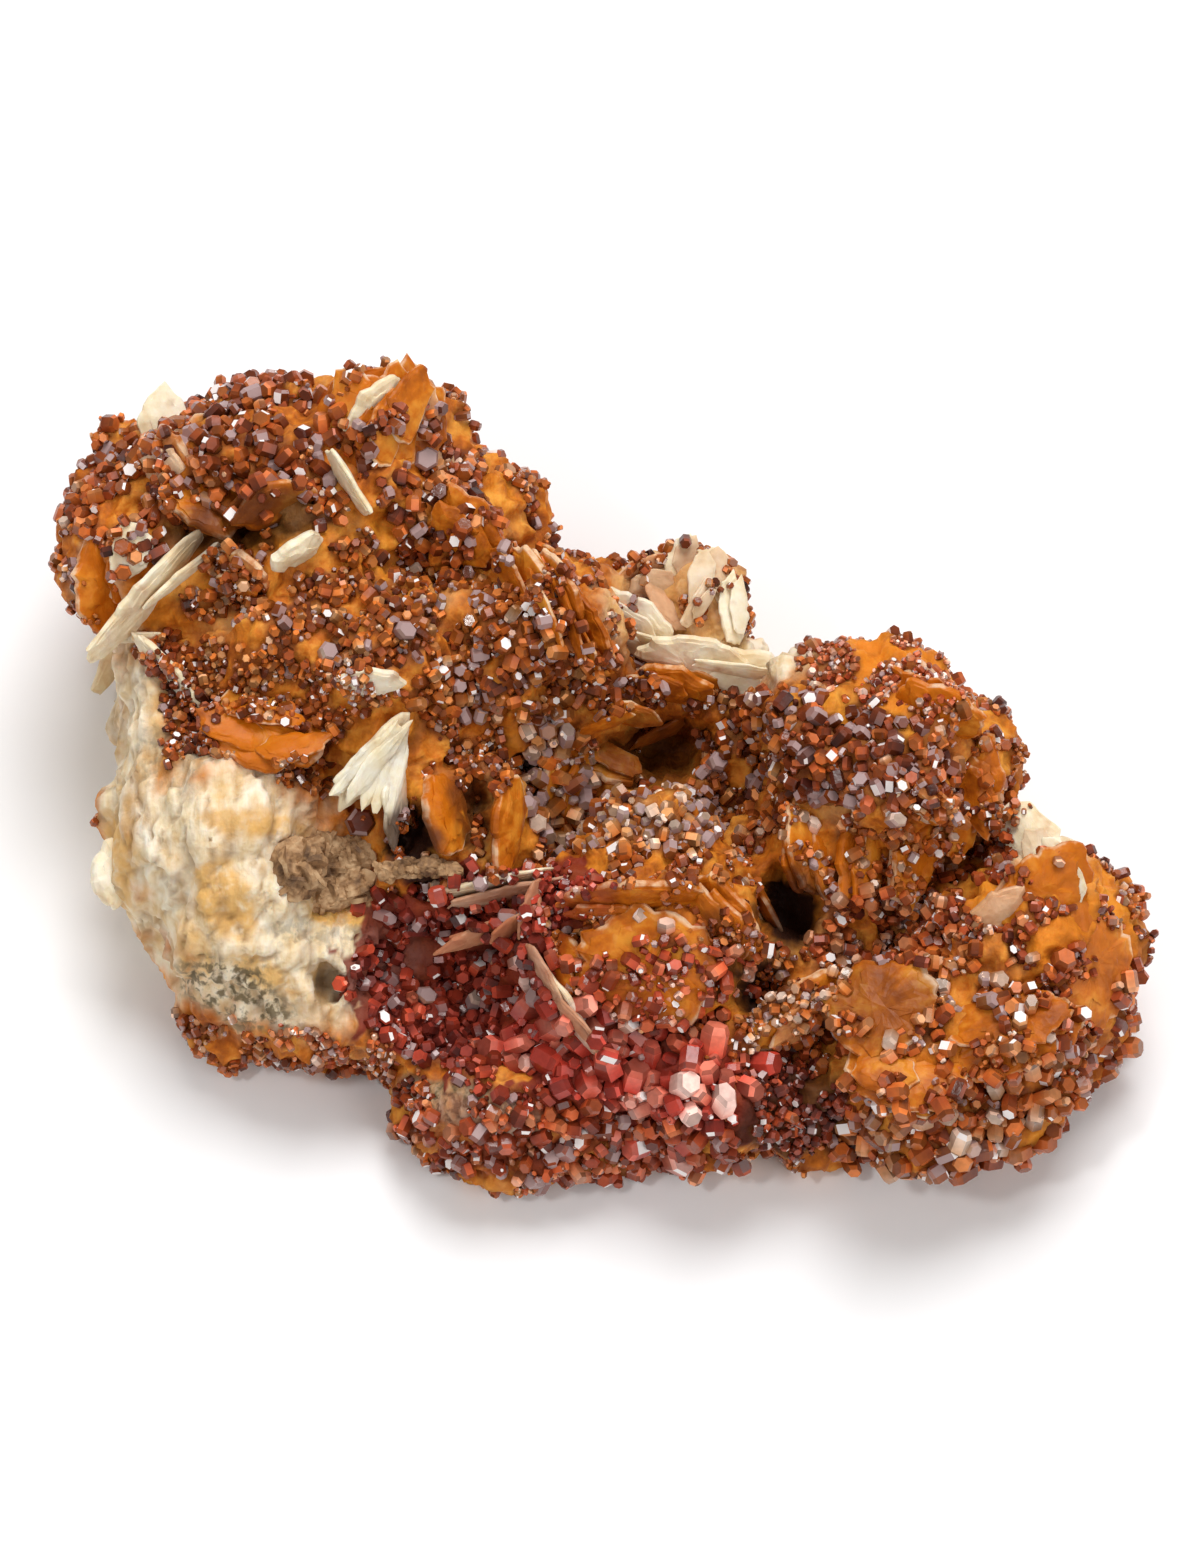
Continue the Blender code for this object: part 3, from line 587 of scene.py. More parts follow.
CRUSTS = table(
    Crust,
    ("vanadinite_upper_left", 12),
    ("vanadinite_left_edge", 8.5),
    ("vanadinite_tower", 9.5),
    ("vanadinite_left_middle", 12.1),
    ("vanadinite_centre", 11.5),
    ("vanadinite_ridge", 7.6),
    ("vanadinite_lower_middle", 9),
    ("vanadinite_right_dome", 12.5),
    ("vanadinite_right_flank", 9.7),
    ("vanadinite_lower_right", 13),
    ("vanadinite_far_right", 9),
    ("vanadinite_red_hollow", 11, Slot.RED_VANADINITE),
    ("vanadinite_red_cluster", 11, Slot.RED_VANADINITE),
    ("vanadinite_lower_edge", 10.8),
    ("vanadinite_back", 12),
)

# Large crystals of the red cluster, and the brightest ones of the ridge and the lower right.
GEMS = table(
    Gem,
    # The pale pink blocks of the red cluster.
    (6.5, -22.4, 2.1, 2, 25, 28, 1, 1),
    (6.9, -24.6, 1.8, 1.8, -60, 30, 0.98, 1),
    (9.3, -23.6, 2.4, 2.2, 70, 38, 0.96, 1),
    (8.2, -21.6, 1.7, 1.6, 100, 45, 0.62, 1),
    (11.2, -22.8, 1.8, 1.9, -20, 50, 0.62, 1),
    (4.6, -23.4, 1.6, 1.5, 190, 40, 0.66, 1),
    # The red crystals that lead up to them.
    (2.9, -21.9, 2.2, 2.2, 75, 50, 0.55, 1),
    (0.9, -21, 2.3, 2, 110, 40, 0.5, 1),
    (-1.2, -19.6, 2.3, 2.4, 140, 55, 0.46, 1),
    (-3.2, -18.2, 2.2, 2, 30, 35, 0.62, 1),
    (-5, -17, 2.1, 2, 60, 50, 0.55, 1),
    (-7.4, -20.1, 2.8, 2, 165, 60, 0.52, 1),
    (-5.6, -19.6, 1.9, 2, 20, 50, 0.6, 1),
    (-3.6, -20.8, 2.2, 2.2, -30, 60, 0.42, 1),
    (-0.6, -22.4, 2, 2, -70, 50, 0.5, 1),
    (2, -23.8, 2, 1.8, 10, 45, 0.58, 1),
    (8.6, -19.3, 2.2, 2.6, 80, 70, 0.6, 0.9),
    (6.2, -19.6, 1.9, 1.9, 150, 60, 0.5, 0.8),
    (6, -28.4, 2.5, 2, 0, 25, 0.78, 1, 0.2),
    (3, -27.2, 2.1, 1.9, 200, 55, 0.5, 1),
    (6.8, -26.8, 1.9, 1.8, 40, 50, 0.55, 0.9),
    (12.4, -21, 2, 2, 0, 60, 0.42, 1),
    # The pink patch on the wall, and the two grey ones in the hollow under it.
    (-5.6, -13.6, 1.6, 1.5, 30, 30, 0.9, 0.9, 0.2),
    (-5, -15.2, 1.7, 1.6, 120, 35, 0.92, 0.9, 0.2),
    (-12.6, -16.2, 1.8, 1.3, 20, 25, 0.8, 0.4, 0.7),
    (-8.9, -16.5, 1.5, 1.4, 60, 35, 0.92, 0.4, 0.5),
    # The bright ones of the lower middle.
    (2.3, -12.4, 1.7, 1.7, 10, 25, 0.95, 0.3),
    (3.2, -10.2, 1.6, 1.5, 50, 30, 0.93, 0.3),
    (5.1, -11, 1.5, 1.5, 90, 40, 0.84, 0.4),
    (7.2, -15.2, 1.8, 1.6, 45, 20, 0.88, 0.5, 0.1),
    (2.4, -18, 1.4, 1.3, 20, 35, 0.95, 0.5),
    # The silver ridge, and single bright crystals of the upper left and the right.
    (-17.3, -3.4, 2.2, 1.3, 20, 15, 0.05, 0.3, 0.55),
    (-4, -3.2, 1.9, 1.7, 30, 25, 0.9, 0, 0.9),
    (-5, -2.2, 1.4, 1.3, 100, 35, 0.95, 0, 0.8),
    (-2.2, 3, 1.7, 1.6, 70, 35, 0.88, 0, 0.9),
    (-2.8, 0.8, 1.4, 1.4, 160, 40, 0.9, 0, 0.9),
    (9, 1, 1.5, 1.4, 45, 25, 0.95, 0, 0.9),
    (-14, 10.6, 1.8, 1.6, 15, 25, 0.9, 0, 0.9),
    (-19.6, 9, 1.5, 1.4, 45, 25, 0.92, 0, 0.7),
    (-12.6, 23.4, 1.9, 1.6, 0, 15, 0.6, 0, 1),
    (21.8, -3.2, 1.5, 1.4, 20, 25, 0.93, 0.2, 0.4),
    (15.9, -3.6, 1.3, 1.3, 80, 35, 0.95, 0.2, 0.2),
    # The small ones on the bare leaves of the far right.
    (34, -13.4, 1.7, 1.5, 60, 30, 0.42, 0.2),
    (33, -14.2, 1.1, 1.1, 130, 45, 0.5, 0.2),
    (35, -12.4, 1.2, 1.1, 20, 45, 0.36, 0.2),
    (32.6, -7.6, 1.1, 1, 80, 40, 0.45, 0.1),
    (31.4, -8.8, 0.9, 0.9, 10, 30, 0.4, 0.1),
    # The pale ones of the lower right.
    (23.8, -24.6, 1.8, 2, 90, 60, 0.92, 0.1, 0.1),
    (26.5, -26.6, 1.7, 1.9, 70, 60, 0.95, 0, 0.1),
    (29, -22.6, 1.7, 1.7, 120, 45, 0.92, 0, 0.1),
)


def view_axes(azimuth: float, elevation: float) -> tuple[Vector, Vector, Vector]:
    """Finds the axes of a view.

    Args:
        azimuth: How far round to the right the viewer stands, in degrees.
        elevation: How far over the horizontal, in degrees.

    Returns:
        Unit vectors to the viewer's right, up, and toward the viewer.
    """
    turn, rise = math.radians(azimuth), math.radians(elevation)
    right = Vector((math.cos(turn), math.sin(turn), 0.0))
    toward = Vector((math.sin(turn) * math.cos(rise), -math.cos(turn) * math.cos(rise), math.sin(rise)))
    return right, toward.cross(right), toward


RIGHT, UPWARD, TOWARD = view_axes(*Side.DISPLAY.value)
FACING_VIEWER = Matrix((RIGHT, UPWARD, TOWARD)).transposed().to_4x4()


def placed(across: float, up: float, height: float) -> Vector:
    """The point at a height over the base that shows at this place on the display plane."""
    rise = math.radians(Side.DISPLAY.value[1])
    return Vector((across, (up - height * math.cos(rise)) / math.sin(rise), height))


def row_point(point: Vector) -> Vector:
    """A layout point in the row frame, in metres."""
    return (point - Vector((*BASE_MIDDLE, 0.0))) * UNIT


def display_places(points: np.ndarray) -> tuple[np.ndarray, np.ndarray]:
    """How far across and how far up each layout point shows on the display plane."""
    return points @ np.array(RIGHT), points @ np.array(UPWARD)


def wobble(points: np.ndarray, scale: float, seed: float = 0.0) -> np.ndarray:
    """Smooth noise at each point, from about -1 to 1."""
    return np.array([noise.noise(Vector(point) * scale + Vector((seed, seed, seed))) for point in points])


def smooth_step(values: np.ndarray, low: float, high: float) -> np.ndarray:
    """Runs smoothly from 0 at low to 1 at high, where low may be the larger."""
    share = np.clip((values - low) / (high - low), 0.0, 1.0)
    return share * share * (3.0 - 2.0 * share)


def ellipse_shares(spot: Spot | Growth, across: np.ndarray, up: np.ndarray) -> np.ndarray:
    """Finds how far out places are from the middle of an ellipse.

    Args:
        spot: The ellipse.
        across: How far across each place is on the display plane.
        up: How far up each one is.

    Returns:
        For each place, 0 in the middle and 1 on the outline.
    """
    turn = math.radians(spot.turn)
    along = (across - spot.across) * math.cos(turn) + (up - spot.up) * math.sin(turn)
    over = (up - spot.up) * math.cos(turn) - (across - spot.across) * math.sin(turn)
    return np.hypot(along / max(spot.wide, 0.01), over / max(spot.high, 0.01))


def spot_mask(spots: Iterable[Spot], points: np.ndarray, ragged: np.ndarray) -> np.ndarray:
    """Works out how strongly a set of spots marks each point.

    Args:
        spots: The spots on the display plane.
        points: Layout points, one a row.
        ragged: Noise at each point, which makes the outlines uneven.

    Returns:
        A number from 0 to 1 for each point.
    """
    across, up = display_places(points)
    mask = np.zeros(len(points))
    for spot in spots:
        share = ellipse_shares(spot, across, up) + SPOT_RAGGED * ragged
        mask = np.maximum(mask, spot.strength * smooth_step(share, *SPOT_EDGE))
    return mask


def surface_masks(points: np.ndarray, normals: np.ndarray) -> dict[Mask, np.ndarray]:
    """Works out how cream, red, green, ochre and bright the surface is, and where it takes painted shade.

    Args:
        points: Layout points, one a row.
        normals: The surface normals there.

    Returns:
        A number from 0 to 1 for each point, for each mask.
    """
    ragged = wobble(points, 0.35) + 0.5 * wobble(points, 1.1, 5.0)
    shown = smooth_step(normals @ np.array(TOWARD), *TURNED_AWAY)
    spots = {
        Mask.CREAM: CREAM_SPOTS,
        Mask.OCHRE: OCHRE_SPOTS,
        Mask.PAINTED_SHADE: PAINTED_SHADE_SPOTS,
        Mask.RED: RED_SPOTS,
        Mask.GREEN: GREEN_SPOTS,
        Mask.BRIGHT: BRIGHT_SPOTS,
    }
    masks = {mask: spot_mask(places, points, ragged) for mask, places in spots.items()}
    for mask in (Mask.PAINTED_SHADE, Mask.RED, Mask.GREEN, Mask.BRIGHT):
        masks[mask] = masks[mask] * shown
    return masks


def patches(points: np.ndarray) -> np.ndarray:
    """How hard it is for vanadinite to take hold at each point, from about 0 to 1, in patches."""
    return 0.5 + wobble(points, PATCH_SCALE, 2.0)


def growth_at(points: np.ndarray, normals: np.ndarray, luck: np.ndarray) -> np.ndarray:
    """Finds what vanadinite grows at each point.

    Args:
        points: Layout points, one a row.
        normals: The surface normals there.
        luck: A number from 0 to 1 for each point, which blurs where one growth ends and the next starts.

    Returns:
        Cover, size, tone, red and frost, one point a row.
    """
    across, up = display_places(points)
    ragged = wobble(points, 0.5, 4.0)
    seen = normals @ np.array(TOWARD) > COVERED_AWAY
    found = np.where(seen[:, None], LEAST_COVER.traits, FLANK_COVER.traits).astype(float)
    best = LEAST_WEIGHT * luck
    for growth in GROWTHS:
        share = ellipse_shares(growth, across, up) + GROWTH_RAGGED * ragged
        weight = smooth_step(share, *GROWTH_EDGE) * (1.0 - LUCK * luck[::-1]) * seen
        better = weight > best
        found[better] = growth.traits
        best = np.maximum(best, weight)
    found[:, 0] -= spot_mask(BARE_SPOTS, points, 0.5 * ragged)
    return found


def new_object(name: str, data: bpy.types.ID) -> Object:
    """Puts an object in the scene.

    Args:
        name: The object's name.
        data: The mesh, light or camera that it shows.

    Returns:
        The object.
    """
    made = bpy.data.objects.new(name, data)
    bpy.context.scene.collection.objects.link(made)
    return made


def mesh_of(form: BMesh, name: str) -> Mesh:
    """Makes a mesh with a form's faces.

    Args:
        form: The form, which isn't used again.
        name: The mesh's name.

    Returns:
        The mesh.
    """
    mesh = bpy.data.meshes.new(name)
    form.to_mesh(mesh)
    form.free()
    return mesh


def vectors_of(mesh: Mesh, kind: str) -> np.ndarray:
    """Reads a vector of every point of a mesh.

    Args:
        mesh: The mesh.
        kind: The name of the vector.

    Returns:
        The vectors, one a row.
    """
    flat = np.empty(len(mesh.vertices) * 3)
    mesh.vertices.foreach_get(kind, flat)
    return flat.reshape(-1, 3)


def points_of(mesh: Mesh) -> np.ndarray:
    """The mesh's points, one a row."""
    return vectors_of(mesh, "co")


def normals_of(mesh: Mesh) -> np.ndarray:
    """The mesh's point normals, one a row."""
    return vectors_of(mesh, "normal")


def set_points(mesh: Mesh, points: np.ndarray) -> None:
    """Moves the mesh's points to these places."""
    mesh.vertices.foreach_set("co", np.asarray(points).ravel())
    mesh.update()


def set_mask(mesh: Mesh, mask: Mask, values: np.ndarray, domain: str = "POINT") -> None:
    """Stores a number for each point, or each face, of a mesh."""
    layer = mesh.attributes.new(mask.value, "FLOAT", domain)
    layer.data.foreach_set("value", np.asarray(values, dtype=np.float32))


def evaluated_mesh(source: Object) -> Mesh:
    """Makes a mesh of an object with its modifiers applied.

    Args:
        source: The object, which is deleted.

    Returns:
        The mesh.
    """
    graph = bpy.context.evaluated_depsgraph_get()
    mesh = bpy.data.meshes.new_from_object(source.evaluated_get(graph))
    bpy.data.objects.remove(source)
    return mesh


def search_of(mesh: Mesh) -> BVHTree:
    """A tree that finds the nearest point of a mesh, and where a line meets it."""
    return BVHTree.FromPolygons([v.co for v in mesh.vertices], [p.vertices for p in mesh.polygons])


def sight(search: BVHTree, across: float, up: float, side: Side) -> tuple[Vector | None, Vector | None]:
    """Follows a line of sight on a side to the surface.

    Args:
        search: The tree of the surface.
        across: How far to the right the line is, in layout units.
        up: How far up it is.
        side: The side that it is seen from.

    Returns:
        The point that it meets and the normal there, or two Nones.
    """
    right, upward, toward = view_axes(*side.value)
    point, normal, _, _ = search.ray_cast(right * across + upward * up + toward * FAR, -toward)
    return point, normal


def finished_piece(mesh: Mesh, name: str, material: Material) -> Object:
    """Moves a layout mesh to the row frame and makes it a piece that rides on the body.

    Args:
        mesh: The mesh in layout units.
        name: The piece's name.
        material: Its material.

    Returns:
        The piece.
    """
    points = (points_of(mesh) - np.array([*BASE_MIDDLE, 0.0])) * UNIT
    points[:, 2] = np.maximum(points[:, 2], 0.0)
    set_points(mesh, points)
    mesh.materials.clear()
    mesh.materials.append(material)
    piece = new_object(name, mesh)
    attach(piece, BODY)
    mesh.calc_loop_triangles()
    LOG.info("%s: %d triangles", name, len(mesh.loop_triangles))
    return piece


class Tint(NamedTuple):
    """A colour that a mask lays over another one, and the most of it that the mask lays on."""

    color: Color
    share: float


class Speckle(NamedTuple):
    """A colour that a mask lays on in specks: their scale a metre, and the noise that they span."""

    color: Color
    scale: float
    low: float
    high: float


class Stain(NamedTuple):
    """A colour that gathers in patches: how much of it there is, and the patches' scale a metre."""

    color: Color
    amount: float
    scale: float


@dataclass(frozen=True)
class Wiring:
    """Adds nodes to a shader tree and joins them."""

    tree: NodeTree

    def add(self, kind: str, feeds: dict[str | int, Any] | None = None, **settings: Any) -> Node:
        """Adds a node.

        Args:
            kind: The node's type.
            feeds: What goes into its inputs: an output socket, or a value.
            settings: The node's own settings.

        Returns:
            The node.
        """
        node = self.tree.nodes.new(kind)
        for name, value in settings.items():
            setattr(node, name, value)
        self.feed(node, feeds or {})
        return node

    def feed(self, node: Node, feeds: dict[str | int, Any]) -> None:
        """Links outputs to a node's inputs, or sets their values.

        Args:
            node: The node.
            feeds: An output socket or a value for each input.
        """
        for key, value in feeds.items():
            if isinstance(value, NodeSocket):
                self.tree.links.new(value, node.inputs[key])
            else:
                node.inputs[key].default_value = value

    def mask(self, mask: Mask) -> NodeSocket:
        """The number that the mesh carries under a mask's name."""
        return self.add("ShaderNodeAttribute", attribute_name=mask.value).outputs["Fac"]

    def position(self) -> NodeSocket:
        """The place on the object, in metres."""
        return self.add("ShaderNodeTexCoord").outputs["Object"]

    def noise(self, position: Any, scale: float, detail: float = 3.0) -> NodeSocket:
        """Cloudy noise from 0 to 1, with scale in waves per metre."""
        feeds = {"Vector": position, "Scale": scale, "Detail": detail}
        return self.add("ShaderNodeTexNoise", feeds).outputs["Fac"]

    def math(self, operation: str, first: Any, second: Any) -> NodeSocket:
        """The result of a sum on two numbers."""
        return self.add("ShaderNodeMath", {0: first, 1: second}, operation=operation).outputs[0]

    def add_up(self, first: Any, second: Any) -> NodeSocket:
        """One number and another."""
        return self.math("ADD", first, second)

    def times(self, first: Any, second: Any) -> NodeSocket:
        """One number times another."""
        return self.math("MULTIPLY", first, second)

    def reach(self, value: Any, low: float, high: float) -> NodeSocket:
        """A value stretched so that low becomes 0 and high becomes 1, smoothly and with no overshoot."""
        feeds = {"Value": value, "From Min": low, "From Max": high}
        return self.add("ShaderNodeMapRange", feeds, interpolation_type="SMOOTHSTEP").outputs["Result"]

    def mix(self, share: Any, first: Any, second: Any, blend: str = "MIX") -> NodeSocket:
        """Mixes two colours.

        Args:
            share: How much of the second colour there is.
            first: The first colour, or the socket that gives it.
            second: The second colour, in the same way.
            blend: How the second one is laid over the first.

        Returns:
            The mixed colour.
        """
        node = self.add("ShaderNodeMix", data_type="RGBA", blend_type=blend, clamp_factor=True)
        for key, value in {0: share, 6: first, 7: second}.items():
            plain = isinstance(value, (NodeSocket, float))
            self.feed(node, {key: value if plain else (*value, 1.0)})
        return node.outputs[2]

    def tinted(self, color: Any, mask: Mask, tint: Tint) -> NodeSocket:
        """The colour with a tint laid over it where a mask is."""
        return self.mix(self.times(self.mask(mask), tint.share), color, tint.color)

    def speckled(self, color: Any, mask: Mask, place: Any, speckle: Speckle) -> NodeSocket:
        """The colour with specks of another one where a mask is."""
        specks = self.reach(self.noise(place, speckle.scale), speckle.low, speckle.high)
        return self.mix(self.times(self.mask(mask), specks), color, speckle.color)

    def ramp(self, value: Any, stops: Sequence[tuple[float, Color]]) -> NodeSocket:
        """Picks a colour from a row of stops.

        Args:
            value: Where along the row it is, from 0 to 1.
            stops: The place and the colour of each stop.

        Returns:
            The colour.
        """
        node = self.add("ShaderNodeValToRGB", {"Fac": value})
        row = node.color_ramp.elements
        while len(row) < len(stops):
            row.new(1.0)
        for element, (place, color) in zip(row, stops):
            element.position = place
            element.color = (*color, 1.0)
        return node.outputs["Color"]

    def bump(self, height: Any, distance: float, strength: float) -> NodeSocket:
        """A normal that follows a height, with distance in metres."""
        feeds = {"Height": height, "Distance": distance, "Strength": strength}
        return self.add("ShaderNodeBump", feeds).outputs["Normal"]

    def use(self, group: NodeTree, feeds: dict[str | int, Any]) -> Node:
        """Adds a node group and feeds its inputs."""
        return self.add("ShaderNodeGroup", feeds, node_tree=group)


def new_group(name: str, takes: dict[str, str], gives: dict[str, str]) -> tuple[Wiring, NodeOutputs, Node]:
    """Makes a node group with named sockets.

    Args:
        name: The group's name.
        takes: The kind of socket for each input's name.
        gives: The same for its outputs.

    Returns:
        The wiring of the group, the sockets of what it is given, and its output node.
    """
    tree = bpy.data.node_groups.new(name, "ShaderNodeTree")
    for kinds, way in ((takes, "INPUT"), (gives, "OUTPUT")):
        for label, kind in kinds.items():
            tree.interface.new_socket(label, in_out=way, socket_type=kind)
    wiring = Wiring(tree)
    return wiring, wiring.add("NodeGroupInput").outputs, wiring.add("NodeGroupOutput")


@dataclass(frozen=True)
class Effects:
    """The node groups that several materials share."""

    grain: NodeTree
    stain: NodeTree
    facets: NodeTree

    # The share of the fine grain, and the grain that counts as dark and as light.
    FINE_SHARE: ClassVar[float] = 0.5
    GRAIN_REACH: ClassVar[Range] = (0.45, 1.05)
    # How much the clouds of a stain vary, and where it starts to show and where it is full.
    CLOUD_SHARE: ClassVar[float] = 0.9
    STAIN_REACH: ClassVar[Range] = (0.62, 1.05)
    # Painted light and shade: how light a facet makes its crystal. Which facets are frosted, and the
    # painted white highlight of the few that glint.
    PAINTED_FACET_LIGHT: ClassVar[Ramp] = ((0.0, (0.4,) * 3), (0.6, (0.95,) * 3), (1.0, (1.7,) * 3))
    FROST_REACH: ClassVar[Range] = (0.95, 1.35)
    PAINTED_GLINT_REACH: ClassVar[Range] = (1.5, 1.9)
    PAINTED_GLINT: ClassVar[Color] = (0.92, 0.86, 0.84)
    SMOOTHEST: ClassVar[float] = 0.14
    ROUGHER: ClassVar[float] = 0.22

    @classmethod
    def build(cls) -> Effects:
        """Makes the three node groups."""
        return cls(cls._grain(), cls._stain(), cls._facets())

    @classmethod
    def _grain(cls) -> NodeTree:
        """Makes the coarse and fine unevenness of a stone, as a value and as a height for its bumps.

        Returns:
            The node group.
        """
        takes = {"Position": VECTOR, "Coarse": FLOAT, "Fine": FLOAT}
        wiring, given, result = new_group("SurfaceGrain", takes, {"Value": FLOAT, "Height": FLOAT})
        coarse = wiring.noise(given["Position"], given["Coarse"], 4.0)
        fine = wiring.noise(given["Position"], given["Fine"], 3.0)
        both = wiring.add_up(coarse, wiring.times(fine, cls.FINE_SHARE))
        wiring.feed(result, {"Value": wiring.reach(both, *cls.GRAIN_REACH), "Height": both})
        return wiring.tree

    @classmethod
    def _stain(cls) -> NodeTree:
        """Makes a stain that gathers in patches over a colour.

        Returns:
            The node group.
        """
        takes = {"Color": COLOR, "Stain": COLOR, "Amount": FLOAT, "Position": VECTOR, "Scale": FLOAT}
        wiring, given, result = new_group("PatchyStain", takes, {"Color": COLOR})
        clouds = wiring.noise(given["Position"], given["Scale"], 5.0)
        over = wiring.add_up(wiring.times(clouds, cls.CLOUD_SHARE), given["Amount"])
        share = wiring.reach(over, *cls.STAIN_REACH)
        wiring.feed(result, {"Color": wiring.mix(share, given["Color"], given["Stain"])})
        return wiring.tree

    @classmethod
    def _facets(cls) -> NodeTree:
        """Paints each facet a little lighter or darker as painted light and shade, frosts the brightest
        ones, and paints a white highlight on the few that glint.

        Returns:
            The node group.
        """
        takes = {"Color": COLOR, "Facet": FLOAT, "Frost": FLOAT, "Frost Color": COLOR}
        wiring, given, result = new_group("PaintedFacetLight", takes, {"Color": COLOR, "Roughness": FLOAT})
        light = wiring.ramp(given["Facet"], cls.PAINTED_FACET_LIGHT)
        shaded = wiring.mix(1.0, given["Color"], light, "MULTIPLY")
        frost = wiring.reach(wiring.add_up(given["Facet"], given["Frost"]), *cls.FROST_REACH)
        frosted = wiring.mix(frost, shaded, given["Frost Color"])
        # Painted highlight: the few facets marked 2 take a near-white glint colour.
        painted_glint = wiring.reach(given["Facet"], *cls.PAINTED_GLINT_REACH)
        rough = wiring.add_up(wiring.times(given["Facet"], cls.ROUGHER), cls.SMOOTHEST)
        wiring.feed(result, {"Color": wiring.mix(painted_glint, frosted, cls.PAINTED_GLINT), "Roughness": rough})
        return wiring.tree

    def grained(self, wiring: Wiring, place: Any, scales: Range) -> Node:
        """The grain of a stone, with the scales of its coarse and its fine unevenness a metre."""
        coarse, fine = scales
        return wiring.use(self.grain, {"Position": place, "Coarse": coarse, "Fine": fine})

    def stained(self, wiring: Wiring, place: Any, color: Any, *stains: Stain) -> NodeSocket:
        """Lays patchy stains over a colour.

        Args:
            wiring: The material's wiring.
            place: The place on the object.
            color: The colour under the stains.
            stains: The stains, the lowest first.

        Returns:
            The stained colour.
        """
        for stain in stains:
            feeds = {"Color": color, "Stain": (*stain.color, 1.0), "Amount": stain.amount}
            node = wiring.use(self.stain, {**feeds, "Position": place, "Scale": stain.scale})
            color = node.outputs["Color"]
        return color


def new_material(name: str) -> tuple[Material, Wiring, Node]:
    """Makes a material with only a surface shader.

    Args:
        name: The material's name.

    Returns:
        The material, its wiring and the shader.
    """
    material = bpy.data.materials.new(name)
    material.use_nodes = True
    material.node_tree.nodes.clear()
    wiring = Wiring(material.node_tree)
    shader = wiring.add("ShaderNodeBsdfPrincipled")
    wiring.add("ShaderNodeOutputMaterial", {"Surface": shader.outputs["BSDF"]})
    return material, wiring, shader


# Light soaks a little way into a stone, and red the furthest.
SOAKED_IN = {"Subsurface Weight": 0.2, "Subsurface Radius": (1.0, 0.6, 0.35), "Subsurface Scale": 0.001}


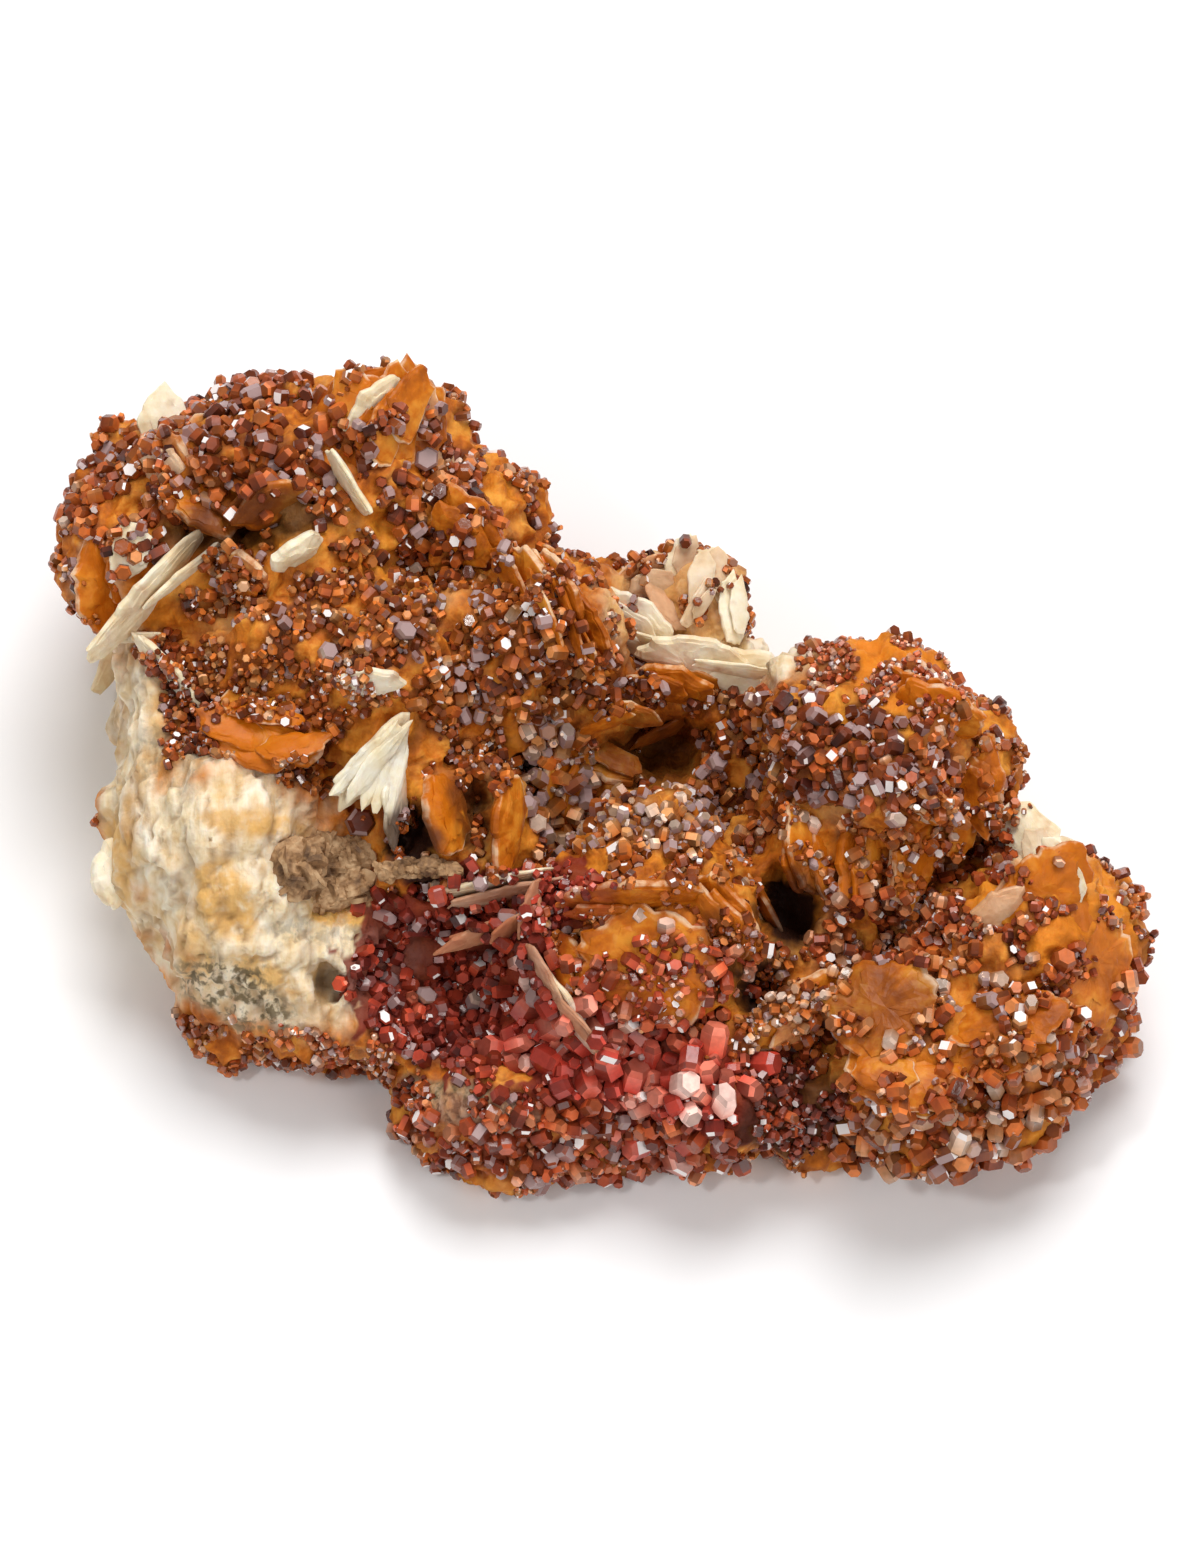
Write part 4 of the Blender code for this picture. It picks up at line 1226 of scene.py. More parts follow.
@dataclass(frozen=True)
class BariteFinish:
    """Massive barite: cream with fibres where it is clean, and orange where iron has stained it."""

    name: str = "massive_barite"
    grain: Range = (330.0, 1500.0)
    grain_in_cream: float = 0.6
    fibre_scales: Triple = (1500.0, 330.0, 800.0)
    fibre_reach: Range = (0.3, 0.68)
    fibre_height: float = 0.5
    orange: Ramp = ((0.0, (0.24, 0.050, 0.006)), (0.5, (0.58, 0.160, 0.012)), (1.0, (0.80, 0.34, 0.050)))
    cream: Ramp = ((0.0, (0.62, 0.42, 0.20)), (0.4, (0.82, 0.67, 0.44)), (1.0, (0.93, 0.86, 0.72)))
    rust: Stain = Stain((0.50, 0.20, 0.035), 0.20, 210.0)
    grey: Stain = Stain((0.56, 0.50, 0.42), 0.12, 130.0)
    yellow: Stain = Stain((0.74, 0.44, 0.14), 0.20, 420.0)
    bright: Stain = Stain((0.84, 0.36, 0.030), 0.22, 120.0)
    tan: Stain = Stain((0.70, 0.44, 0.20), 0.16, 185.0)
    brown: Stain = Stain((0.30, 0.070, 0.010), 0.22, 640.0)
    ochre: Speckle = Speckle((0.74, 0.42, 0.12), 800.0, 0.25, 0.55)
    green: Speckle = Speckle((0.17, 0.125, 0.065), 1500.0, 0.42, 0.62)
    # Painted shade in the cracks of the cream barite.
    crack_shade: Tint = Tint((0.34, 0.18, 0.07), 0.6)
    vivid: Tint = Tint((0.76, 0.235, 0.012), 0.8)
    # Painted shade: the dark brown between the crystals where they crust the barite.
    shade_among_crystals: Tint = Tint((0.13, 0.026, 0.006), 0.78)
    red: Tint = Tint((0.20, 0.020, 0.012), 0.9)
    red_reach: Range = (0.35, 0.65)
    # Painted shade in the hollows and under ledges.
    painted_shade: Color = (0.030, 0.009, 0.004)
    roughness: float = 0.6
    shine: float = 0.16
    bumps: Range = (0.0004, 0.8)

    def build(self, effects: Effects) -> Material:
        """Makes the material.

        Args:
            effects: The shared node groups.

        Returns:
            The material.
        """
        material, wiring, shader = new_material(self.name)
        place = wiring.position()
        grain = effects.grained(wiring, place, self.grain)
        stretched = wiring.add("ShaderNodeMapping", {"Vector": place, "Scale": self.fibre_scales})
        fibres = wiring.noise(stretched.outputs["Vector"], 1.0)
        pale = wiring.ramp(wiring.reach(fibres, *self.fibre_reach), self.cream)
        pale = wiring.mix(self.grain_in_cream, pale, wiring.ramp(grain.outputs["Value"], self.cream))
        pale = effects.stained(wiring, place, pale, self.rust, self.grey, self.yellow)
        pale = wiring.speckled(pale, Mask.OCHRE, place, self.ochre)
        # Painted shade in the cracks.
        pale = wiring.tinted(pale, Mask.CRACK_SHADE, self.crack_shade)
        amber = wiring.ramp(grain.outputs["Value"], self.orange)
        amber = effects.stained(wiring, place, amber, self.bright, self.tan)
        amber = wiring.tinted(amber, Mask.BRIGHT, self.vivid)
        amber = effects.stained(wiring, place, amber, self.brown)
        # Painted shade among the crystals.
        amber = wiring.tinted(amber, Mask.SHADE_AMONG_CRYSTALS, self.shade_among_crystals)
        color = wiring.mix(wiring.mask(Mask.CREAM), amber, pale)
        color = wiring.speckled(color, Mask.GREEN, place, self.green)
        tinged = wiring.reach(wiring.mask(Mask.RED), *self.red_reach)
        color = wiring.mix(wiring.times(tinged, self.red.share), color, self.red.color)
        # Painted shade in the hollows.
        color = wiring.mix(wiring.mask(Mask.PAINTED_SHADE), color, self.painted_shade)
        height = wiring.add_up(grain.outputs["Height"], wiring.times(fibres, self.fibre_height))
        feeds = {"Base Color": color, "Roughness": self.roughness, "Specular IOR Level": self.shine}
        wiring.feed(shader, {**feeds, **SOAKED_IN, "Normal": wiring.bump(height, *self.bumps)})
        return material


@dataclass(frozen=True)
class BladeFinish:
    """Tabular barite: glassy amber orange, with cream rims and pale leaves."""

    name: str = "bladed_barite"
    grain: Range = (300.0, 1300.0)
    grain_share: float = 0.72
    shade_share: float = 0.30
    orange: Ramp = ((0.0, (0.20, 0.036, 0.003)), (0.5, (0.52, 0.135, 0.006)), (1.0, (0.78, 0.34, 0.040)))
    cream: Ramp = ((0.0, (0.70, 0.50, 0.26)), (0.5, (0.88, 0.76, 0.54)), (1.0, (0.95, 0.90, 0.78)))
    cream_reach: Range = (0.42, 0.85)
    rim_reach: Range = (0.35, 0.85)
    rim_share: float = 0.45
    rust: Stain = Stain((0.34, 0.085, 0.010), 0.14, 260.0)
    fine_rust: Stain = Stain((0.34, 0.085, 0.010), 0.14, 700.0)
    vivid: Tint = Tint((0.60, 0.155, 0.004), 0.75)
    red: Tint = Tint((0.30, 0.035, 0.018), 0.5)
    # Painted shade on blades in the hollows.
    painted_shade: Tint = Tint((0.06, 0.016, 0.008), 0.85)
    roughness: float = 0.4
    shine: float = 0.16
    bumps: Range = (0.00025, 0.6)

    def build(self, effects: Effects) -> Material:
        """Makes the material.

        Args:
            effects: The shared node groups.

        Returns:
            The material.
        """
        material, wiring, shader = new_material(self.name)
        place = wiring.position()
        grain = effects.grained(wiring, place, self.grain)
        value = wiring.times(wiring.mask(Mask.BLADE_TONE_AND_FACET_LIGHT), self.shade_share)
        value = wiring.add_up(value, wiring.times(grain.outputs["Value"], self.grain_share))
        clean = wiring.tinted(wiring.ramp(value, self.orange), Mask.BRIGHT, self.vivid)
        rim = wiring.times(wiring.mask(Mask.RIM), grain.outputs["Value"])
        lit_rim = wiring.times(wiring.reach(rim, *self.rim_reach), self.rim_share)
        pale = wiring.reach(wiring.mask(Mask.CREAM), *self.cream_reach)
        share = wiring.math("MAXIMUM", lit_rim, pale)
        color = wiring.mix(share, clean, wiring.ramp(value, self.cream))
        color = effects.stained(wiring, place, color, self.rust, self.fine_rust)
        color = wiring.tinted(color, Mask.RED, self.red)
        # Painted shade in the hollows.
        color = wiring.tinted(color, Mask.PAINTED_SHADE, self.painted_shade)
        normal = wiring.bump(grain.outputs["Height"], *self.bumps)
        feeds = {"Base Color": color, "Roughness": self.roughness, "Specular IOR Level": self.shine}
        wiring.feed(shader, {**feeds, **SOAKED_IN, "Normal": normal})
        return material


@dataclass(frozen=True)
class VanadiniteFinish:
    """Resinous vanadinite, from dark brown through orange to pale, and from dark red to pink."""

    name: str
    brown: Ramp = (
        (0.0, (0.060, 0.014, 0.008)),
        (0.35, (0.30, 0.062, 0.012)),
        (0.6, (0.52, 0.140, 0.020)),
        (0.8, (0.56, 0.26, 0.095)),
        (1.0, (0.78, 0.58, 0.45)),
    )
    red: Ramp = (
        (0.0, (0.11, 0.014, 0.012)),
        (0.5, (0.46, 0.045, 0.026)),
        (0.8, (0.66, 0.20, 0.13)),
        (1.0, (0.88, 0.58, 0.50)),
    )
    grain: Range = (700.0, 2600.0)
    mottle: Ramp = ((0.0, (0.75,) * 3), (1.0, (1.15,) * 3))
    frost: Color = (0.40, 0.27, 0.26)
    index: float = 1.75
    shine: float = 0.22
    bumps: Range = (0.00008, 0.4)

    def build(self, effects: Effects) -> Material:
        """Makes the material.

        Args:
            effects: The shared node groups.

        Returns:
            The material.
        """
        material, wiring, shader = new_material(self.name)
        tone = wiring.mask(Mask.TONE_AND_TIP_LIGHT)
        brown, red = wiring.ramp(tone, self.brown), wiring.ramp(tone, self.red)
        color = wiring.mix(wiring.mask(Mask.RED), brown, red)
        grain = effects.grained(wiring, wiring.position(), self.grain)
        color = wiring.mix(1.0, color, wiring.ramp(grain.outputs["Value"], self.mottle), "MULTIPLY")
        # The facets take painted light and shade and painted glints from the shared group.
        feeds = {"Color": color, "Facet": wiring.mask(Mask.BLADE_TONE_AND_FACET_LIGHT), "Frost": wiring.mask(Mask.FROST)}
        facets = wiring.use(effects.facets, {**feeds, "Frost Color": (*self.frost, 1.0)}).outputs
        wiring.feed(shader, {"Base Color": facets["Color"], "Roughness": facets["Roughness"]})
        normal = wiring.bump(grain.outputs["Height"], *self.bumps)
        wiring.feed(shader, {"IOR": self.index, "Specular IOR Level": self.shine, "Normal": normal})
        return material


@dataclass(frozen=True)
class WeatheredFinish:
    """The dull grey-brown crystals of the knot."""

    name: str = "weathered_crystals"
    grain: Range = (500.0, 2200.0)
    brown: Ramp = ((0.0, (0.09, 0.042, 0.018)), (0.5, (0.36, 0.20, 0.09)), (1.0, (0.60, 0.40, 0.22)))
    lichen: Stain = Stain((0.50, 0.28, 0.12), 0.15, 600.0)
    roughness: float = 0.75
    bumps: Range = (0.0002, 0.8)

    def build(self, effects: Effects) -> Material:
        """Makes the material.

        Args:
            effects: The shared node groups.

        Returns:
            The material.
        """
        material, wiring, shader = new_material(self.name)
        place = wiring.position()
        grain = effects.grained(wiring, place, self.grain)
        brown = wiring.ramp(grain.outputs["Value"], self.brown)
        color = effects.stained(wiring, place, brown, self.lichen)
        normal = wiring.bump(grain.outputs["Height"], *self.bumps)
        wiring.feed(shader, {"Base Color": color, "Roughness": self.roughness, "Normal": normal})
        return material


@dataclass
class MassiveBarite:
    """The lumps of barite merged into one broken surface, with its vugs and its fine relief.

    Depths are in millimetres and scales in waves a millimetre. A stretch has a scale for each axis.
    """

    voxel: float = 0.9
    dents: float = 2.4
    dent_scale: float = 0.16
    vug_power: float = 0.7
    vug_facing: float = -0.2
    swells: float = 1.5
    swell_scale: float = 0.13
    knobs: float = 1.5
    knob_scale: float = 0.2
    knob_level: float = 0.55
    ledges: float = 0.7
    ledge_most: float = 0.5
    grain: float = 0.5
    grain_scale: float = 0.55
    crumbs: float = 0.36
    crumb_scale: float = 0.9
    fine_crumbs: float = 0.6
    fine_crumb_scale: float = 1.9
    worn_off: float = 0.4
    crests: float = 0.85
    crest_level: float = 0.5
    crest_slope: float = 2.2
    fine_crests: float = 0.3
    crest_stretch: Triple = (0.42, 0.30, 0.38)
    fibres: float = 0.55
    fine_fibres: float = 0.4
    ridge_stretch: Triple = (0.85, 0.15, 0.22)
    fibre_stretch: Triple = (2.2, 0.35, 0.5)
    cracks: float = 0.42
    cracks_everywhere: float = 0.25
    crack_stretch: Triple = (0.50, 0.17, 0.28)
    crack_bend: float = 1.2
    crack_width: float = 0.14
    # Where the painted shade among the crystals starts and where it is full.
    crystal_shade_edge: Range = (-0.18, 0.06)

    def rough_mesh(self) -> Mesh:
        """Makes the surface before its fine relief, which the frame's solids also stand on.

        Returns:
            The mesh, in layout units.
        """
        form = bmesh.new()
        for lump in LUMPS:
            self._add_lump(form, lump)
        body = new_object("lumps", mesh_of(form, "lumps"))
        merge = body.modifiers.new("Merge", "REMESH")
        merge.mode = "VOXEL"
        merge.voxel_size = self.voxel
        mesh = evaluated_mesh(body)
        self._carve(mesh, VUGS)
        moved = [v.co + v.normal * self._relief(v.co) for v in mesh.vertices]
        set_points(mesh, np.array(moved))
        return mesh

    def _add_lump(self, form: BMesh, lump: Lump) -> None:
        """Adds a dented ellipsoid.

        Args:
            form: What it is added to.
            lump: The ellipsoid.
        """
        middle = placed(lump.across, lump.up, lump.height)
        for vert in bmesh.ops.create_icosphere(form, subdivisions=3, radius=1.0)["verts"]:
            point = Vector((vert.co.x * lump.wide, vert.co.y * lump.deep, vert.co.z * lump.tall)) + middle
            vert.co = point + vert.co * self.dents * noise.noise(point * self.dent_scale)

    def _carve(self, mesh: Mesh, hollows: Iterable[Lump]) -> None:
        """Sinks hollows that open to the display side.

        Args:
            mesh: The surface.
            hollows: The hollows.
        """
        for vug in hollows:
            middle = placed(vug.across, vug.up, vug.height)
            for vert in mesh.vertices:
                offset = vert.co - middle
                flat = offset - TOWARD * offset.dot(TOWARD)
                share = math.hypot(flat.x / vug.wide, math.hypot(flat.y, flat.z) / vug.deep)
                if share < 1.0 and vert.normal.dot(TOWARD) > self.vug_facing:
                    vert.co -= TOWARD * vug.tall * (1.0 - share * share) ** self.vug_power
        mesh.update()

    def _relief(self, point: Vector) -> float:
        """Works out how far the broken surface stands out at a point.

        Args:
            point: The point, in layout units.

        Returns:
            The height of the relief there.
        """
        swell = self.swells * noise.noise(point * self.swell_scale + Vector((7.0, 0.0, 0.0)))
        near, second = noise.voronoi(point * self.knob_scale)[0][:2]
        knobs = self.knobs * (self.knob_level - near)
        ledges = self.ledges * min(second - near, self.ledge_most)
        return swell + knobs + ledges + self.grain * noise.noise(point * self.grain_scale)

    def fine_mesh(self, rough: Mesh) -> Mesh:
        """Adds crumbs, crests and fibres to the rough surface, and cuts it flat at the base.

        Args:
            rough: The surface before its fine relief.

        Returns:
            A new mesh, with its masks.
        """
        body = new_object("fine", rough.copy())
        finer = body.modifiers.new("Finer", "SUBSURF")
        finer.levels = 1
        mesh = evaluated_mesh(body)
        self._carve(mesh, SMALL_VUGS)
        points, normals = points_of(mesh), normals_of(mesh)
        clean = surface_masks(points, normals)[Mask.CREAM]
        set_points(mesh, points + normals * self._fine_relief(points, clean)[:, None])
        self._cut_flat(mesh)
        points, normals = points_of(mesh), normals_of(mesh)
        masks = surface_masks(points, normals)
        # Painted shade in the cracks.
        masks[Mask.CRACK_SHADE] = self._cracks(points)
        # Painted shade among the crystals, where they crust the barite.
        cover = growth_at(points, normals, np.full(len(points), 0.5))[:, 0]
        masks[Mask.SHADE_AMONG_CRYSTALS] = smooth_step(cover - patches(points), *self.crystal_shade_edge)
        for mask, values in masks.items():
            set_mask(mesh, mask, values)
        return mesh

    def _fine_relief(self, points: np.ndarray, clean: np.ndarray) -> np.ndarray:
        """Works out how far crumbs, crests, fibres and cracks move the surface.

        Args:
            points: Layout points, one a row.
            clean: How cream the barite is at each one, from 0 to 1.

        Returns:
            The height of the relief at each point.
        """
        grit = wobble(points, self.crumb_scale)
        grit = grit + self.fine_crumbs * wobble(points, self.fine_crumb_scale, 3.0)
        crumbs = self.crumbs * grit * (1.0 - self.worn_off * clean)
        folds = wobble(points * self.crest_stretch, 1.0, 6.0)
        folds = np.abs(folds + self.fine_crests * wobble(points, self.crumb_scale, 8.0))
        crumbs += self.crests * (self.crest_level - self.crest_slope * folds) * (1.0 - clean)
        everywhere = self.cracks_everywhere
        cracks = self._cracks(points) * (everywhere + (1.0 - everywhere) * clean)
        ridges = 0.5 - np.abs(wobble(points * self.ridge_stretch, 1.0, 9.0)) * 2.0
        fibres = self.fine_fibres * wobble(points * self.fibre_stretch, 1.0, 9.0)
        return crumbs + self.fibres * (ridges + fibres) * clean - self.cracks * cracks

    def _cut_flat(self, mesh: Mesh) -> None:
        """Cuts a mesh flat at the base and closes the cut.

        Args:
            mesh: The mesh, in layout units.
        """
        form = bmesh.new()
        form.from_mesh(mesh)
        everything = [*form.verts, *form.edges, *form.faces]
        base = {"plane_co": (0, 0, 0), "plane_no": (0, 0, -1)}
        cut = bmesh.ops.bisect_plane(form, geom=everything, clear_outer=True, **base)["geom_cut"]
        bmesh.ops.holes_fill(form, edges=[edge for edge in cut if isinstance(edge, BMEdge)])
        form.to_mesh(mesh)
        form.free()

    def _cracks(self, points: np.ndarray) -> np.ndarray:
        """Works out where cracks part long splinters.

        Args:
            points: Layout points, one a row.

        Returns:
            How deep in a crack each point is, from 0 to 1.
        """
        bends = np.column_stack([wobble(points, 0.4, seed) for seed in (1.0, 2.0, 3.0)])
        gaps = []
        for point in (points + self.crack_bend * bends) * self.crack_stretch:
            near, second = noise.voronoi(Vector(point))[0][:2]
            gaps.append(second - near)
        return smooth_step(np.array(gaps), self.crack_width, 0.0)

    def build(self, mesh: Mesh, finish: Material) -> Object:
        """Makes the piece that stands for the frame's barite.

        Args:
            mesh: The fine mesh.
            finish: Its material.

        Returns:
            The piece.
        """
        piece = finished_piece(mesh, "barite_body", finish)
        for face in piece.data.polygons:
            face.use_smooth = True
        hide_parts("barite_matrix")
        return piece


@dataclass
class MeshParts:
    """Points, faces and numbers that add up to one mesh."""

    points: list[np.ndarray] = field(default_factory=list)
    faces: list[Face] = field(default_factory=list)
    point_values: dict[Mask, list[np.ndarray]] = field(default_factory=dict)
    face_values: dict[Mask, list[np.ndarray]] = field(default_factory=dict)
    count: int = 0

    def add(
        self,
        points: np.ndarray,
        faces: Iterable[Face],
        point_values: dict[Mask, np.ndarray],
        face_values: dict[Mask, np.ndarray] | None = None,
    ) -> None:
        """Adds a shape.

        Args:
            points: Its points, one a row.
            faces: Its faces, as the numbers of their points.
            point_values: A number for each point, for each mask.
            face_values: A number for each face, for each mask.
        """
        self.faces.extend(tuple(index + self.count for index in face) for face in faces)
        self.points.append(points)
        self.count += len(points)
        for held, new in ((self.point_values, point_values), (self.face_values, face_values or {})):
            for mask, values in new.items():
                held.setdefault(mask, []).append(values)

    def mesh(self, name: str) -> Mesh:
        """Makes a mesh of everything added.

        Args:
            name: The mesh's name.

        Returns:
            The mesh, with its masks.
        """
        mesh = bpy.data.meshes.new(name)
        mesh.from_pydata(np.concatenate(self.points), [], self.faces)
        for held, domain in ((self.point_values, "POINT"), (self.face_values, "FACE")):
            for mask, values in held.items():
                set_mask(mesh, mask, np.concatenate(values), domain)
        return mesh


def ring_faces(rings: int, sides: int) -> list[Face]:
    """Joins rings of points with quads, and closes each end with one face.

    Args:
        rings: How many rings there are.
        sides: How many points each one has.

    Returns:
        The faces, as the numbers of their points.
    """
    faces = [tuple(reversed(range(sides)))]
    for ring in range(rings - 1):
        for side in range(sides):
            after = (side + 1) % sides
            low, high = ring * sides, (ring + 1) * sides
            faces.append((low + side, low + after, high + after, high + side))
    faces.append(tuple(range((rings - 1) * sides, rings * sides)))
    return faces


@dataclass
class BladedBarite:
    """The tabular barite crystals, each a plate with a chipped outline, bevelled rims and rippled faces."""

    sides: int = 7
    steps: int = 6
    reach: Range = (0.78, 1.12)
    taper: float = 0.88
    # How deep chips are, in shares of the plate's size, and fine chips and rare bites in shares of that.
    chip: float = 0.15
    chip_scale: float = 0.9
    fine_chips: float = 0.4
    fine_chip_scale: float = 2.3
    bites: float = 2.0
    bite_scale: float = 0.5
    bite_from: float = 0.25
    # How unevenly the rings of a plate lie, more so toward its middle, and how far its faces ripple.
    stray: float = 0.3
    stray_inward: float = 4.0
    ripple: float = 0.14
    # Leaves beside a blade: their size and thickness as shares of the blade's, and how they differ from it.
    leaf_size: Range = (0.55, 0.85)
    leaf_thick: float = 0.6
    leaf_aside: Range = (0.5, 1.0)
    leaf_along: Range = (-0.2, 0.2)
    leaf_across: Range = (-0.2, 0.1)
    leaf_tilt: Range = (-7.0, 7.0)
    leaf_turn: Range = (-20.0, 20.0)
    leaf_pale: Range = (-0.2, 0.2)
    seed: int = 5
    # Each ring of a plate: its height as a share of the thickness, its size, and how much it is rim.
    profile: tuple[tuple[float, float, float], ...] = (
        (-0.5, 0.25, 0.0),
        (-0.48, 0.55, 0.0),
        (-0.36, 0.86, 0.2),
        (-0.18, 0.98, 1.0),
        (0.02, 1.0, 1.0),
        (0.16, 0.97, 1.0),
        (0.24, 0.88, 0.2),
        (0.31, 0.80, 0.2),
        (0.40, 0.62, 0.0),
        (0.45, 0.52, 0.0),
        (0.5, 0.25, 0.0),
    )

    def corners(self, blade: Blade, chance: random.Random) -> list[Vector]:
        """Draws a plate's corners, as the frame's solid draws them.

        Args:
            blade: The blade.
            chance: Where the draws come from.

        Returns:
            The corners in the plate's own plane, in order round it.
        """
        form = bmesh.new()
        cone = {"radius1": 1.0, "radius2": self.taper, "depth": 1.0}
        plate = bmesh.ops.create_cone(form, cap_ends=True, segments=self.sides, **cone)["verts"]
        reach = [chance.uniform(*self.reach) for _ in range(self.sides)]
        found: list[Vector] = []
        for vert in plate:
            side = round(math.atan2(vert.co.y, vert.co.x) / math.tau * self.sides - 0.01) % self.sides
            if vert.co.z < 0.0:
                corner = Vector((vert.co.x * blade.length / 2, vert.co.y * blade.width / 2))
                found.append(corner * reach[side])
        form.free()
        return sorted(found, key=lambda corner: math.atan2(corner.y, corner.x))

    def matrix(self, blade: Blade, point: Vector) -> Matrix:
        """Turns a plate lying flat, long side along X, into a blade's place.

        Args:
            blade: The blade.
            point: Where its line of sight meets the surface.

        Returns:
            The plate's place.
        """
        right, upward, toward = view_axes(*blade.side.value)
        heading = math.radians(blade.heading)
        long_way = right * math.cos(heading) + upward * math.sin(heading)
        face = Matrix.Rotation(math.radians(blade.roll), 3, long_way) @ toward
        turned = Matrix((long_way, face.cross(long_way), face)).transposed().to_4x4()
        return Matrix.Translation(point + toward * blade.proud) @ turned

    def _outline(self, corners: list[Vector], seed: float) -> list[Vector]:
        """Chips the edges between a plate's corners.

        Args:
            corners: The corners in the plate's plane.
            seed: Moves the noise.

        Returns:
            The outline's points.
        """
        outline = []
        for corner, after in zip(corners, corners[1:] + corners[:1]):
            for step in range(self.steps):
                point = corner.lerp(after, step / self.steps)
                place, other = Vector((point.x, point.y, seed)), Vector((point.y, point.x, seed))
                chip = self.chip * noise.noise(place * self.chip_scale)
                chip += self.fine_chips * self.chip * noise.noise(other * self.fine_chip_scale)
                bite = max(0.0, noise.noise(other * self.bite_scale) - self.bite_from)
                chip -= self.bites * self.chip * bite
                outline.append(point * (1.0 + chip))
        return outline

    def add_plate(
        self,
        parts: MeshParts,
        corners: list[Vector],
        matrix: Matrix,
        thick: float,
        pale: float,
        seed: float,
    ) -> None:
        """Adds one plate to the parts.

        Args:
            parts: What the plate is added to.
            corners: The outline's corners in the plate's plane.
            matrix: The plate's place.
            thick: Its thickness.
            pale: How cream it is, from 0 to 1.
            seed: Moves the noise, so that no two plates are alike.
        """
        outline = self._outline(corners, seed)
        points, rims = [], []
        for height, size, rim in self.profile:
            for place in outline:
                stray = self.stray * noise.noise(Vector((place.x * 0.4, place.y * 0.6, seed + size * 9.0)))
                flat = place * size * (1.0 + stray * (1.0 - size) * self.stray_inward)
                wave = noise.noise(Vector((flat.x * 0.5, flat.y * 0.9, seed + height)))
                rise = height + self.ripple * wave * (1.0 - rim)
                points.append(matrix @ Vector((flat.x, flat.y, rise * thick)))
                rims.append(rim)
        shade = 0.5 + 0.5 * noise.noise(Vector((seed * 3.1, 0.5, 0.5)))
        values = {Mask.RIM: np.array(rims)}
        for mask, value in {Mask.CREAM: pale, Mask.BLADE_TONE_AND_FACET_LIGHT: shade}.items():
            values[mask] = np.full(len(points), value)
        parts.add(np.array(points), ring_faces(len(self.profile), len(outline)), values)

    def _leaf_place(self, blade: Blade, matrix: Matrix, chance: random.Random) -> Matrix:
        """Draws the place of a leaf beside a blade.

        Args:
            blade: The blade.
            matrix: The blade's place.
            chance: Where the draws come from.

        Returns:
            The leaf's place.
        """
        aside = chance.choice((-1.0, 1.0)) * blade.thick * chance.uniform(*self.leaf_aside)
        along = chance.uniform(*self.leaf_along) * blade.length
        slide = Vector((along, chance.uniform(*self.leaf_across) * blade.width, aside))
        tilt = Matrix.Rotation(math.radians(chance.uniform(*self.leaf_tilt)), 4, "X")
        turn = Matrix.Rotation(math.radians(chance.uniform(*self.leaf_turn)), 4, "Z")
        return matrix @ Matrix.Translation(slide) @ tilt @ turn

    def mesh(self, search: BVHTree) -> Mesh:
        """Makes all the blades that find the surface, each with the smaller leaves beside it.

        Args:
            search: The tree of the rough barite.

        Returns:
            The mesh, with its masks.
        """
        parts = MeshParts()
        chance = random.Random(self.seed)
        leaves = random.Random(self.seed + 1)
        for index, blade in enumerate((*BLADES, *THIN_BLADES)):
            point, _ = sight(search, blade.across, blade.up, blade.side)
            if point is None:
                continue
            corners = self.corners(blade, chance)
            matrix = self.matrix(blade, point)
            self.add_plate(parts, corners, matrix, blade.thick, blade.pale, index + 0.37)
            for leaf in range(blade.leaves):
                size = leaves.uniform(*self.leaf_size)
                place = self._leaf_place(blade, matrix, leaves)
                smaller = [corner * size for corner in corners]
                pale = min(1.0, max(0.0, blade.pale + leaves.uniform(*self.leaf_pale)))
                thick = blade.thick * self.leaf_thick
                self.add_plate(parts, smaller, place, thick, pale, index + leaf * 0.21 + 50.0)
        mesh = parts.mesh("barite_blades")
        masks = surface_masks(points_of(mesh), normals_of(mesh))
        for mask in (Mask.PAINTED_SHADE, Mask.RED, Mask.BRIGHT):
            set_mask(mesh, mask, masks[mask])
        return mesh

    def build(self, mesh: Mesh, finish: Material) -> Object:
        """Makes the piece of blades, which stand on the barite body."""
        return finished_piece(mesh, "barite_blades", finish)


class Crystal(NamedTuple):
    """One vanadinite prism: where its middle is, how it points, its size and its colour."""

    middle: Vector
    axis: Vector
    spin: float
    width: float
    height: float
    tone: float
    red: float
    frost: float


# The middles and widths of the crystals in each millimetre cube.
Taken = dict[tuple[int, ...], list[tuple[np.ndarray, float]]]


def cube_of(point: np.ndarray) -> tuple[int, ...]:
    """The millimetre cube that a point is in."""
    return tuple(np.floor(point).astype(int))


@dataclass
class PrismShape:
    """The hexagonal prism with a bevelled end that every crystal copies."""

    bevel: float = 0.24
    sides: int = 6

    def rings(self) -> list[tuple[float, float]]:
        """The height and radius of each ring, in shares of the crystal's height and of half its width."""
        return [(-0.5, 0.8), (-0.40, 1.0), (0.5 - self.bevel * 0.9, 1.0), (0.5, 1.0 - self.bevel)]

    def points(self) -> np.ndarray:
        """Makes the prism's points.

        Returns:
            The points, one a row, for a width of 2 and a height of 1.
        """
        turns = np.arange(self.sides) * math.tau / self.sides
        flat = np.column_stack([np.cos(turns), np.sin(turns)])
        return np.array([(*place, height) for height, size in self.rings() for place in flat * size])

    def faces(self) -> list[Face]:
        """The prism's faces."""
        return ring_faces(len(self.rings()), self.sides)


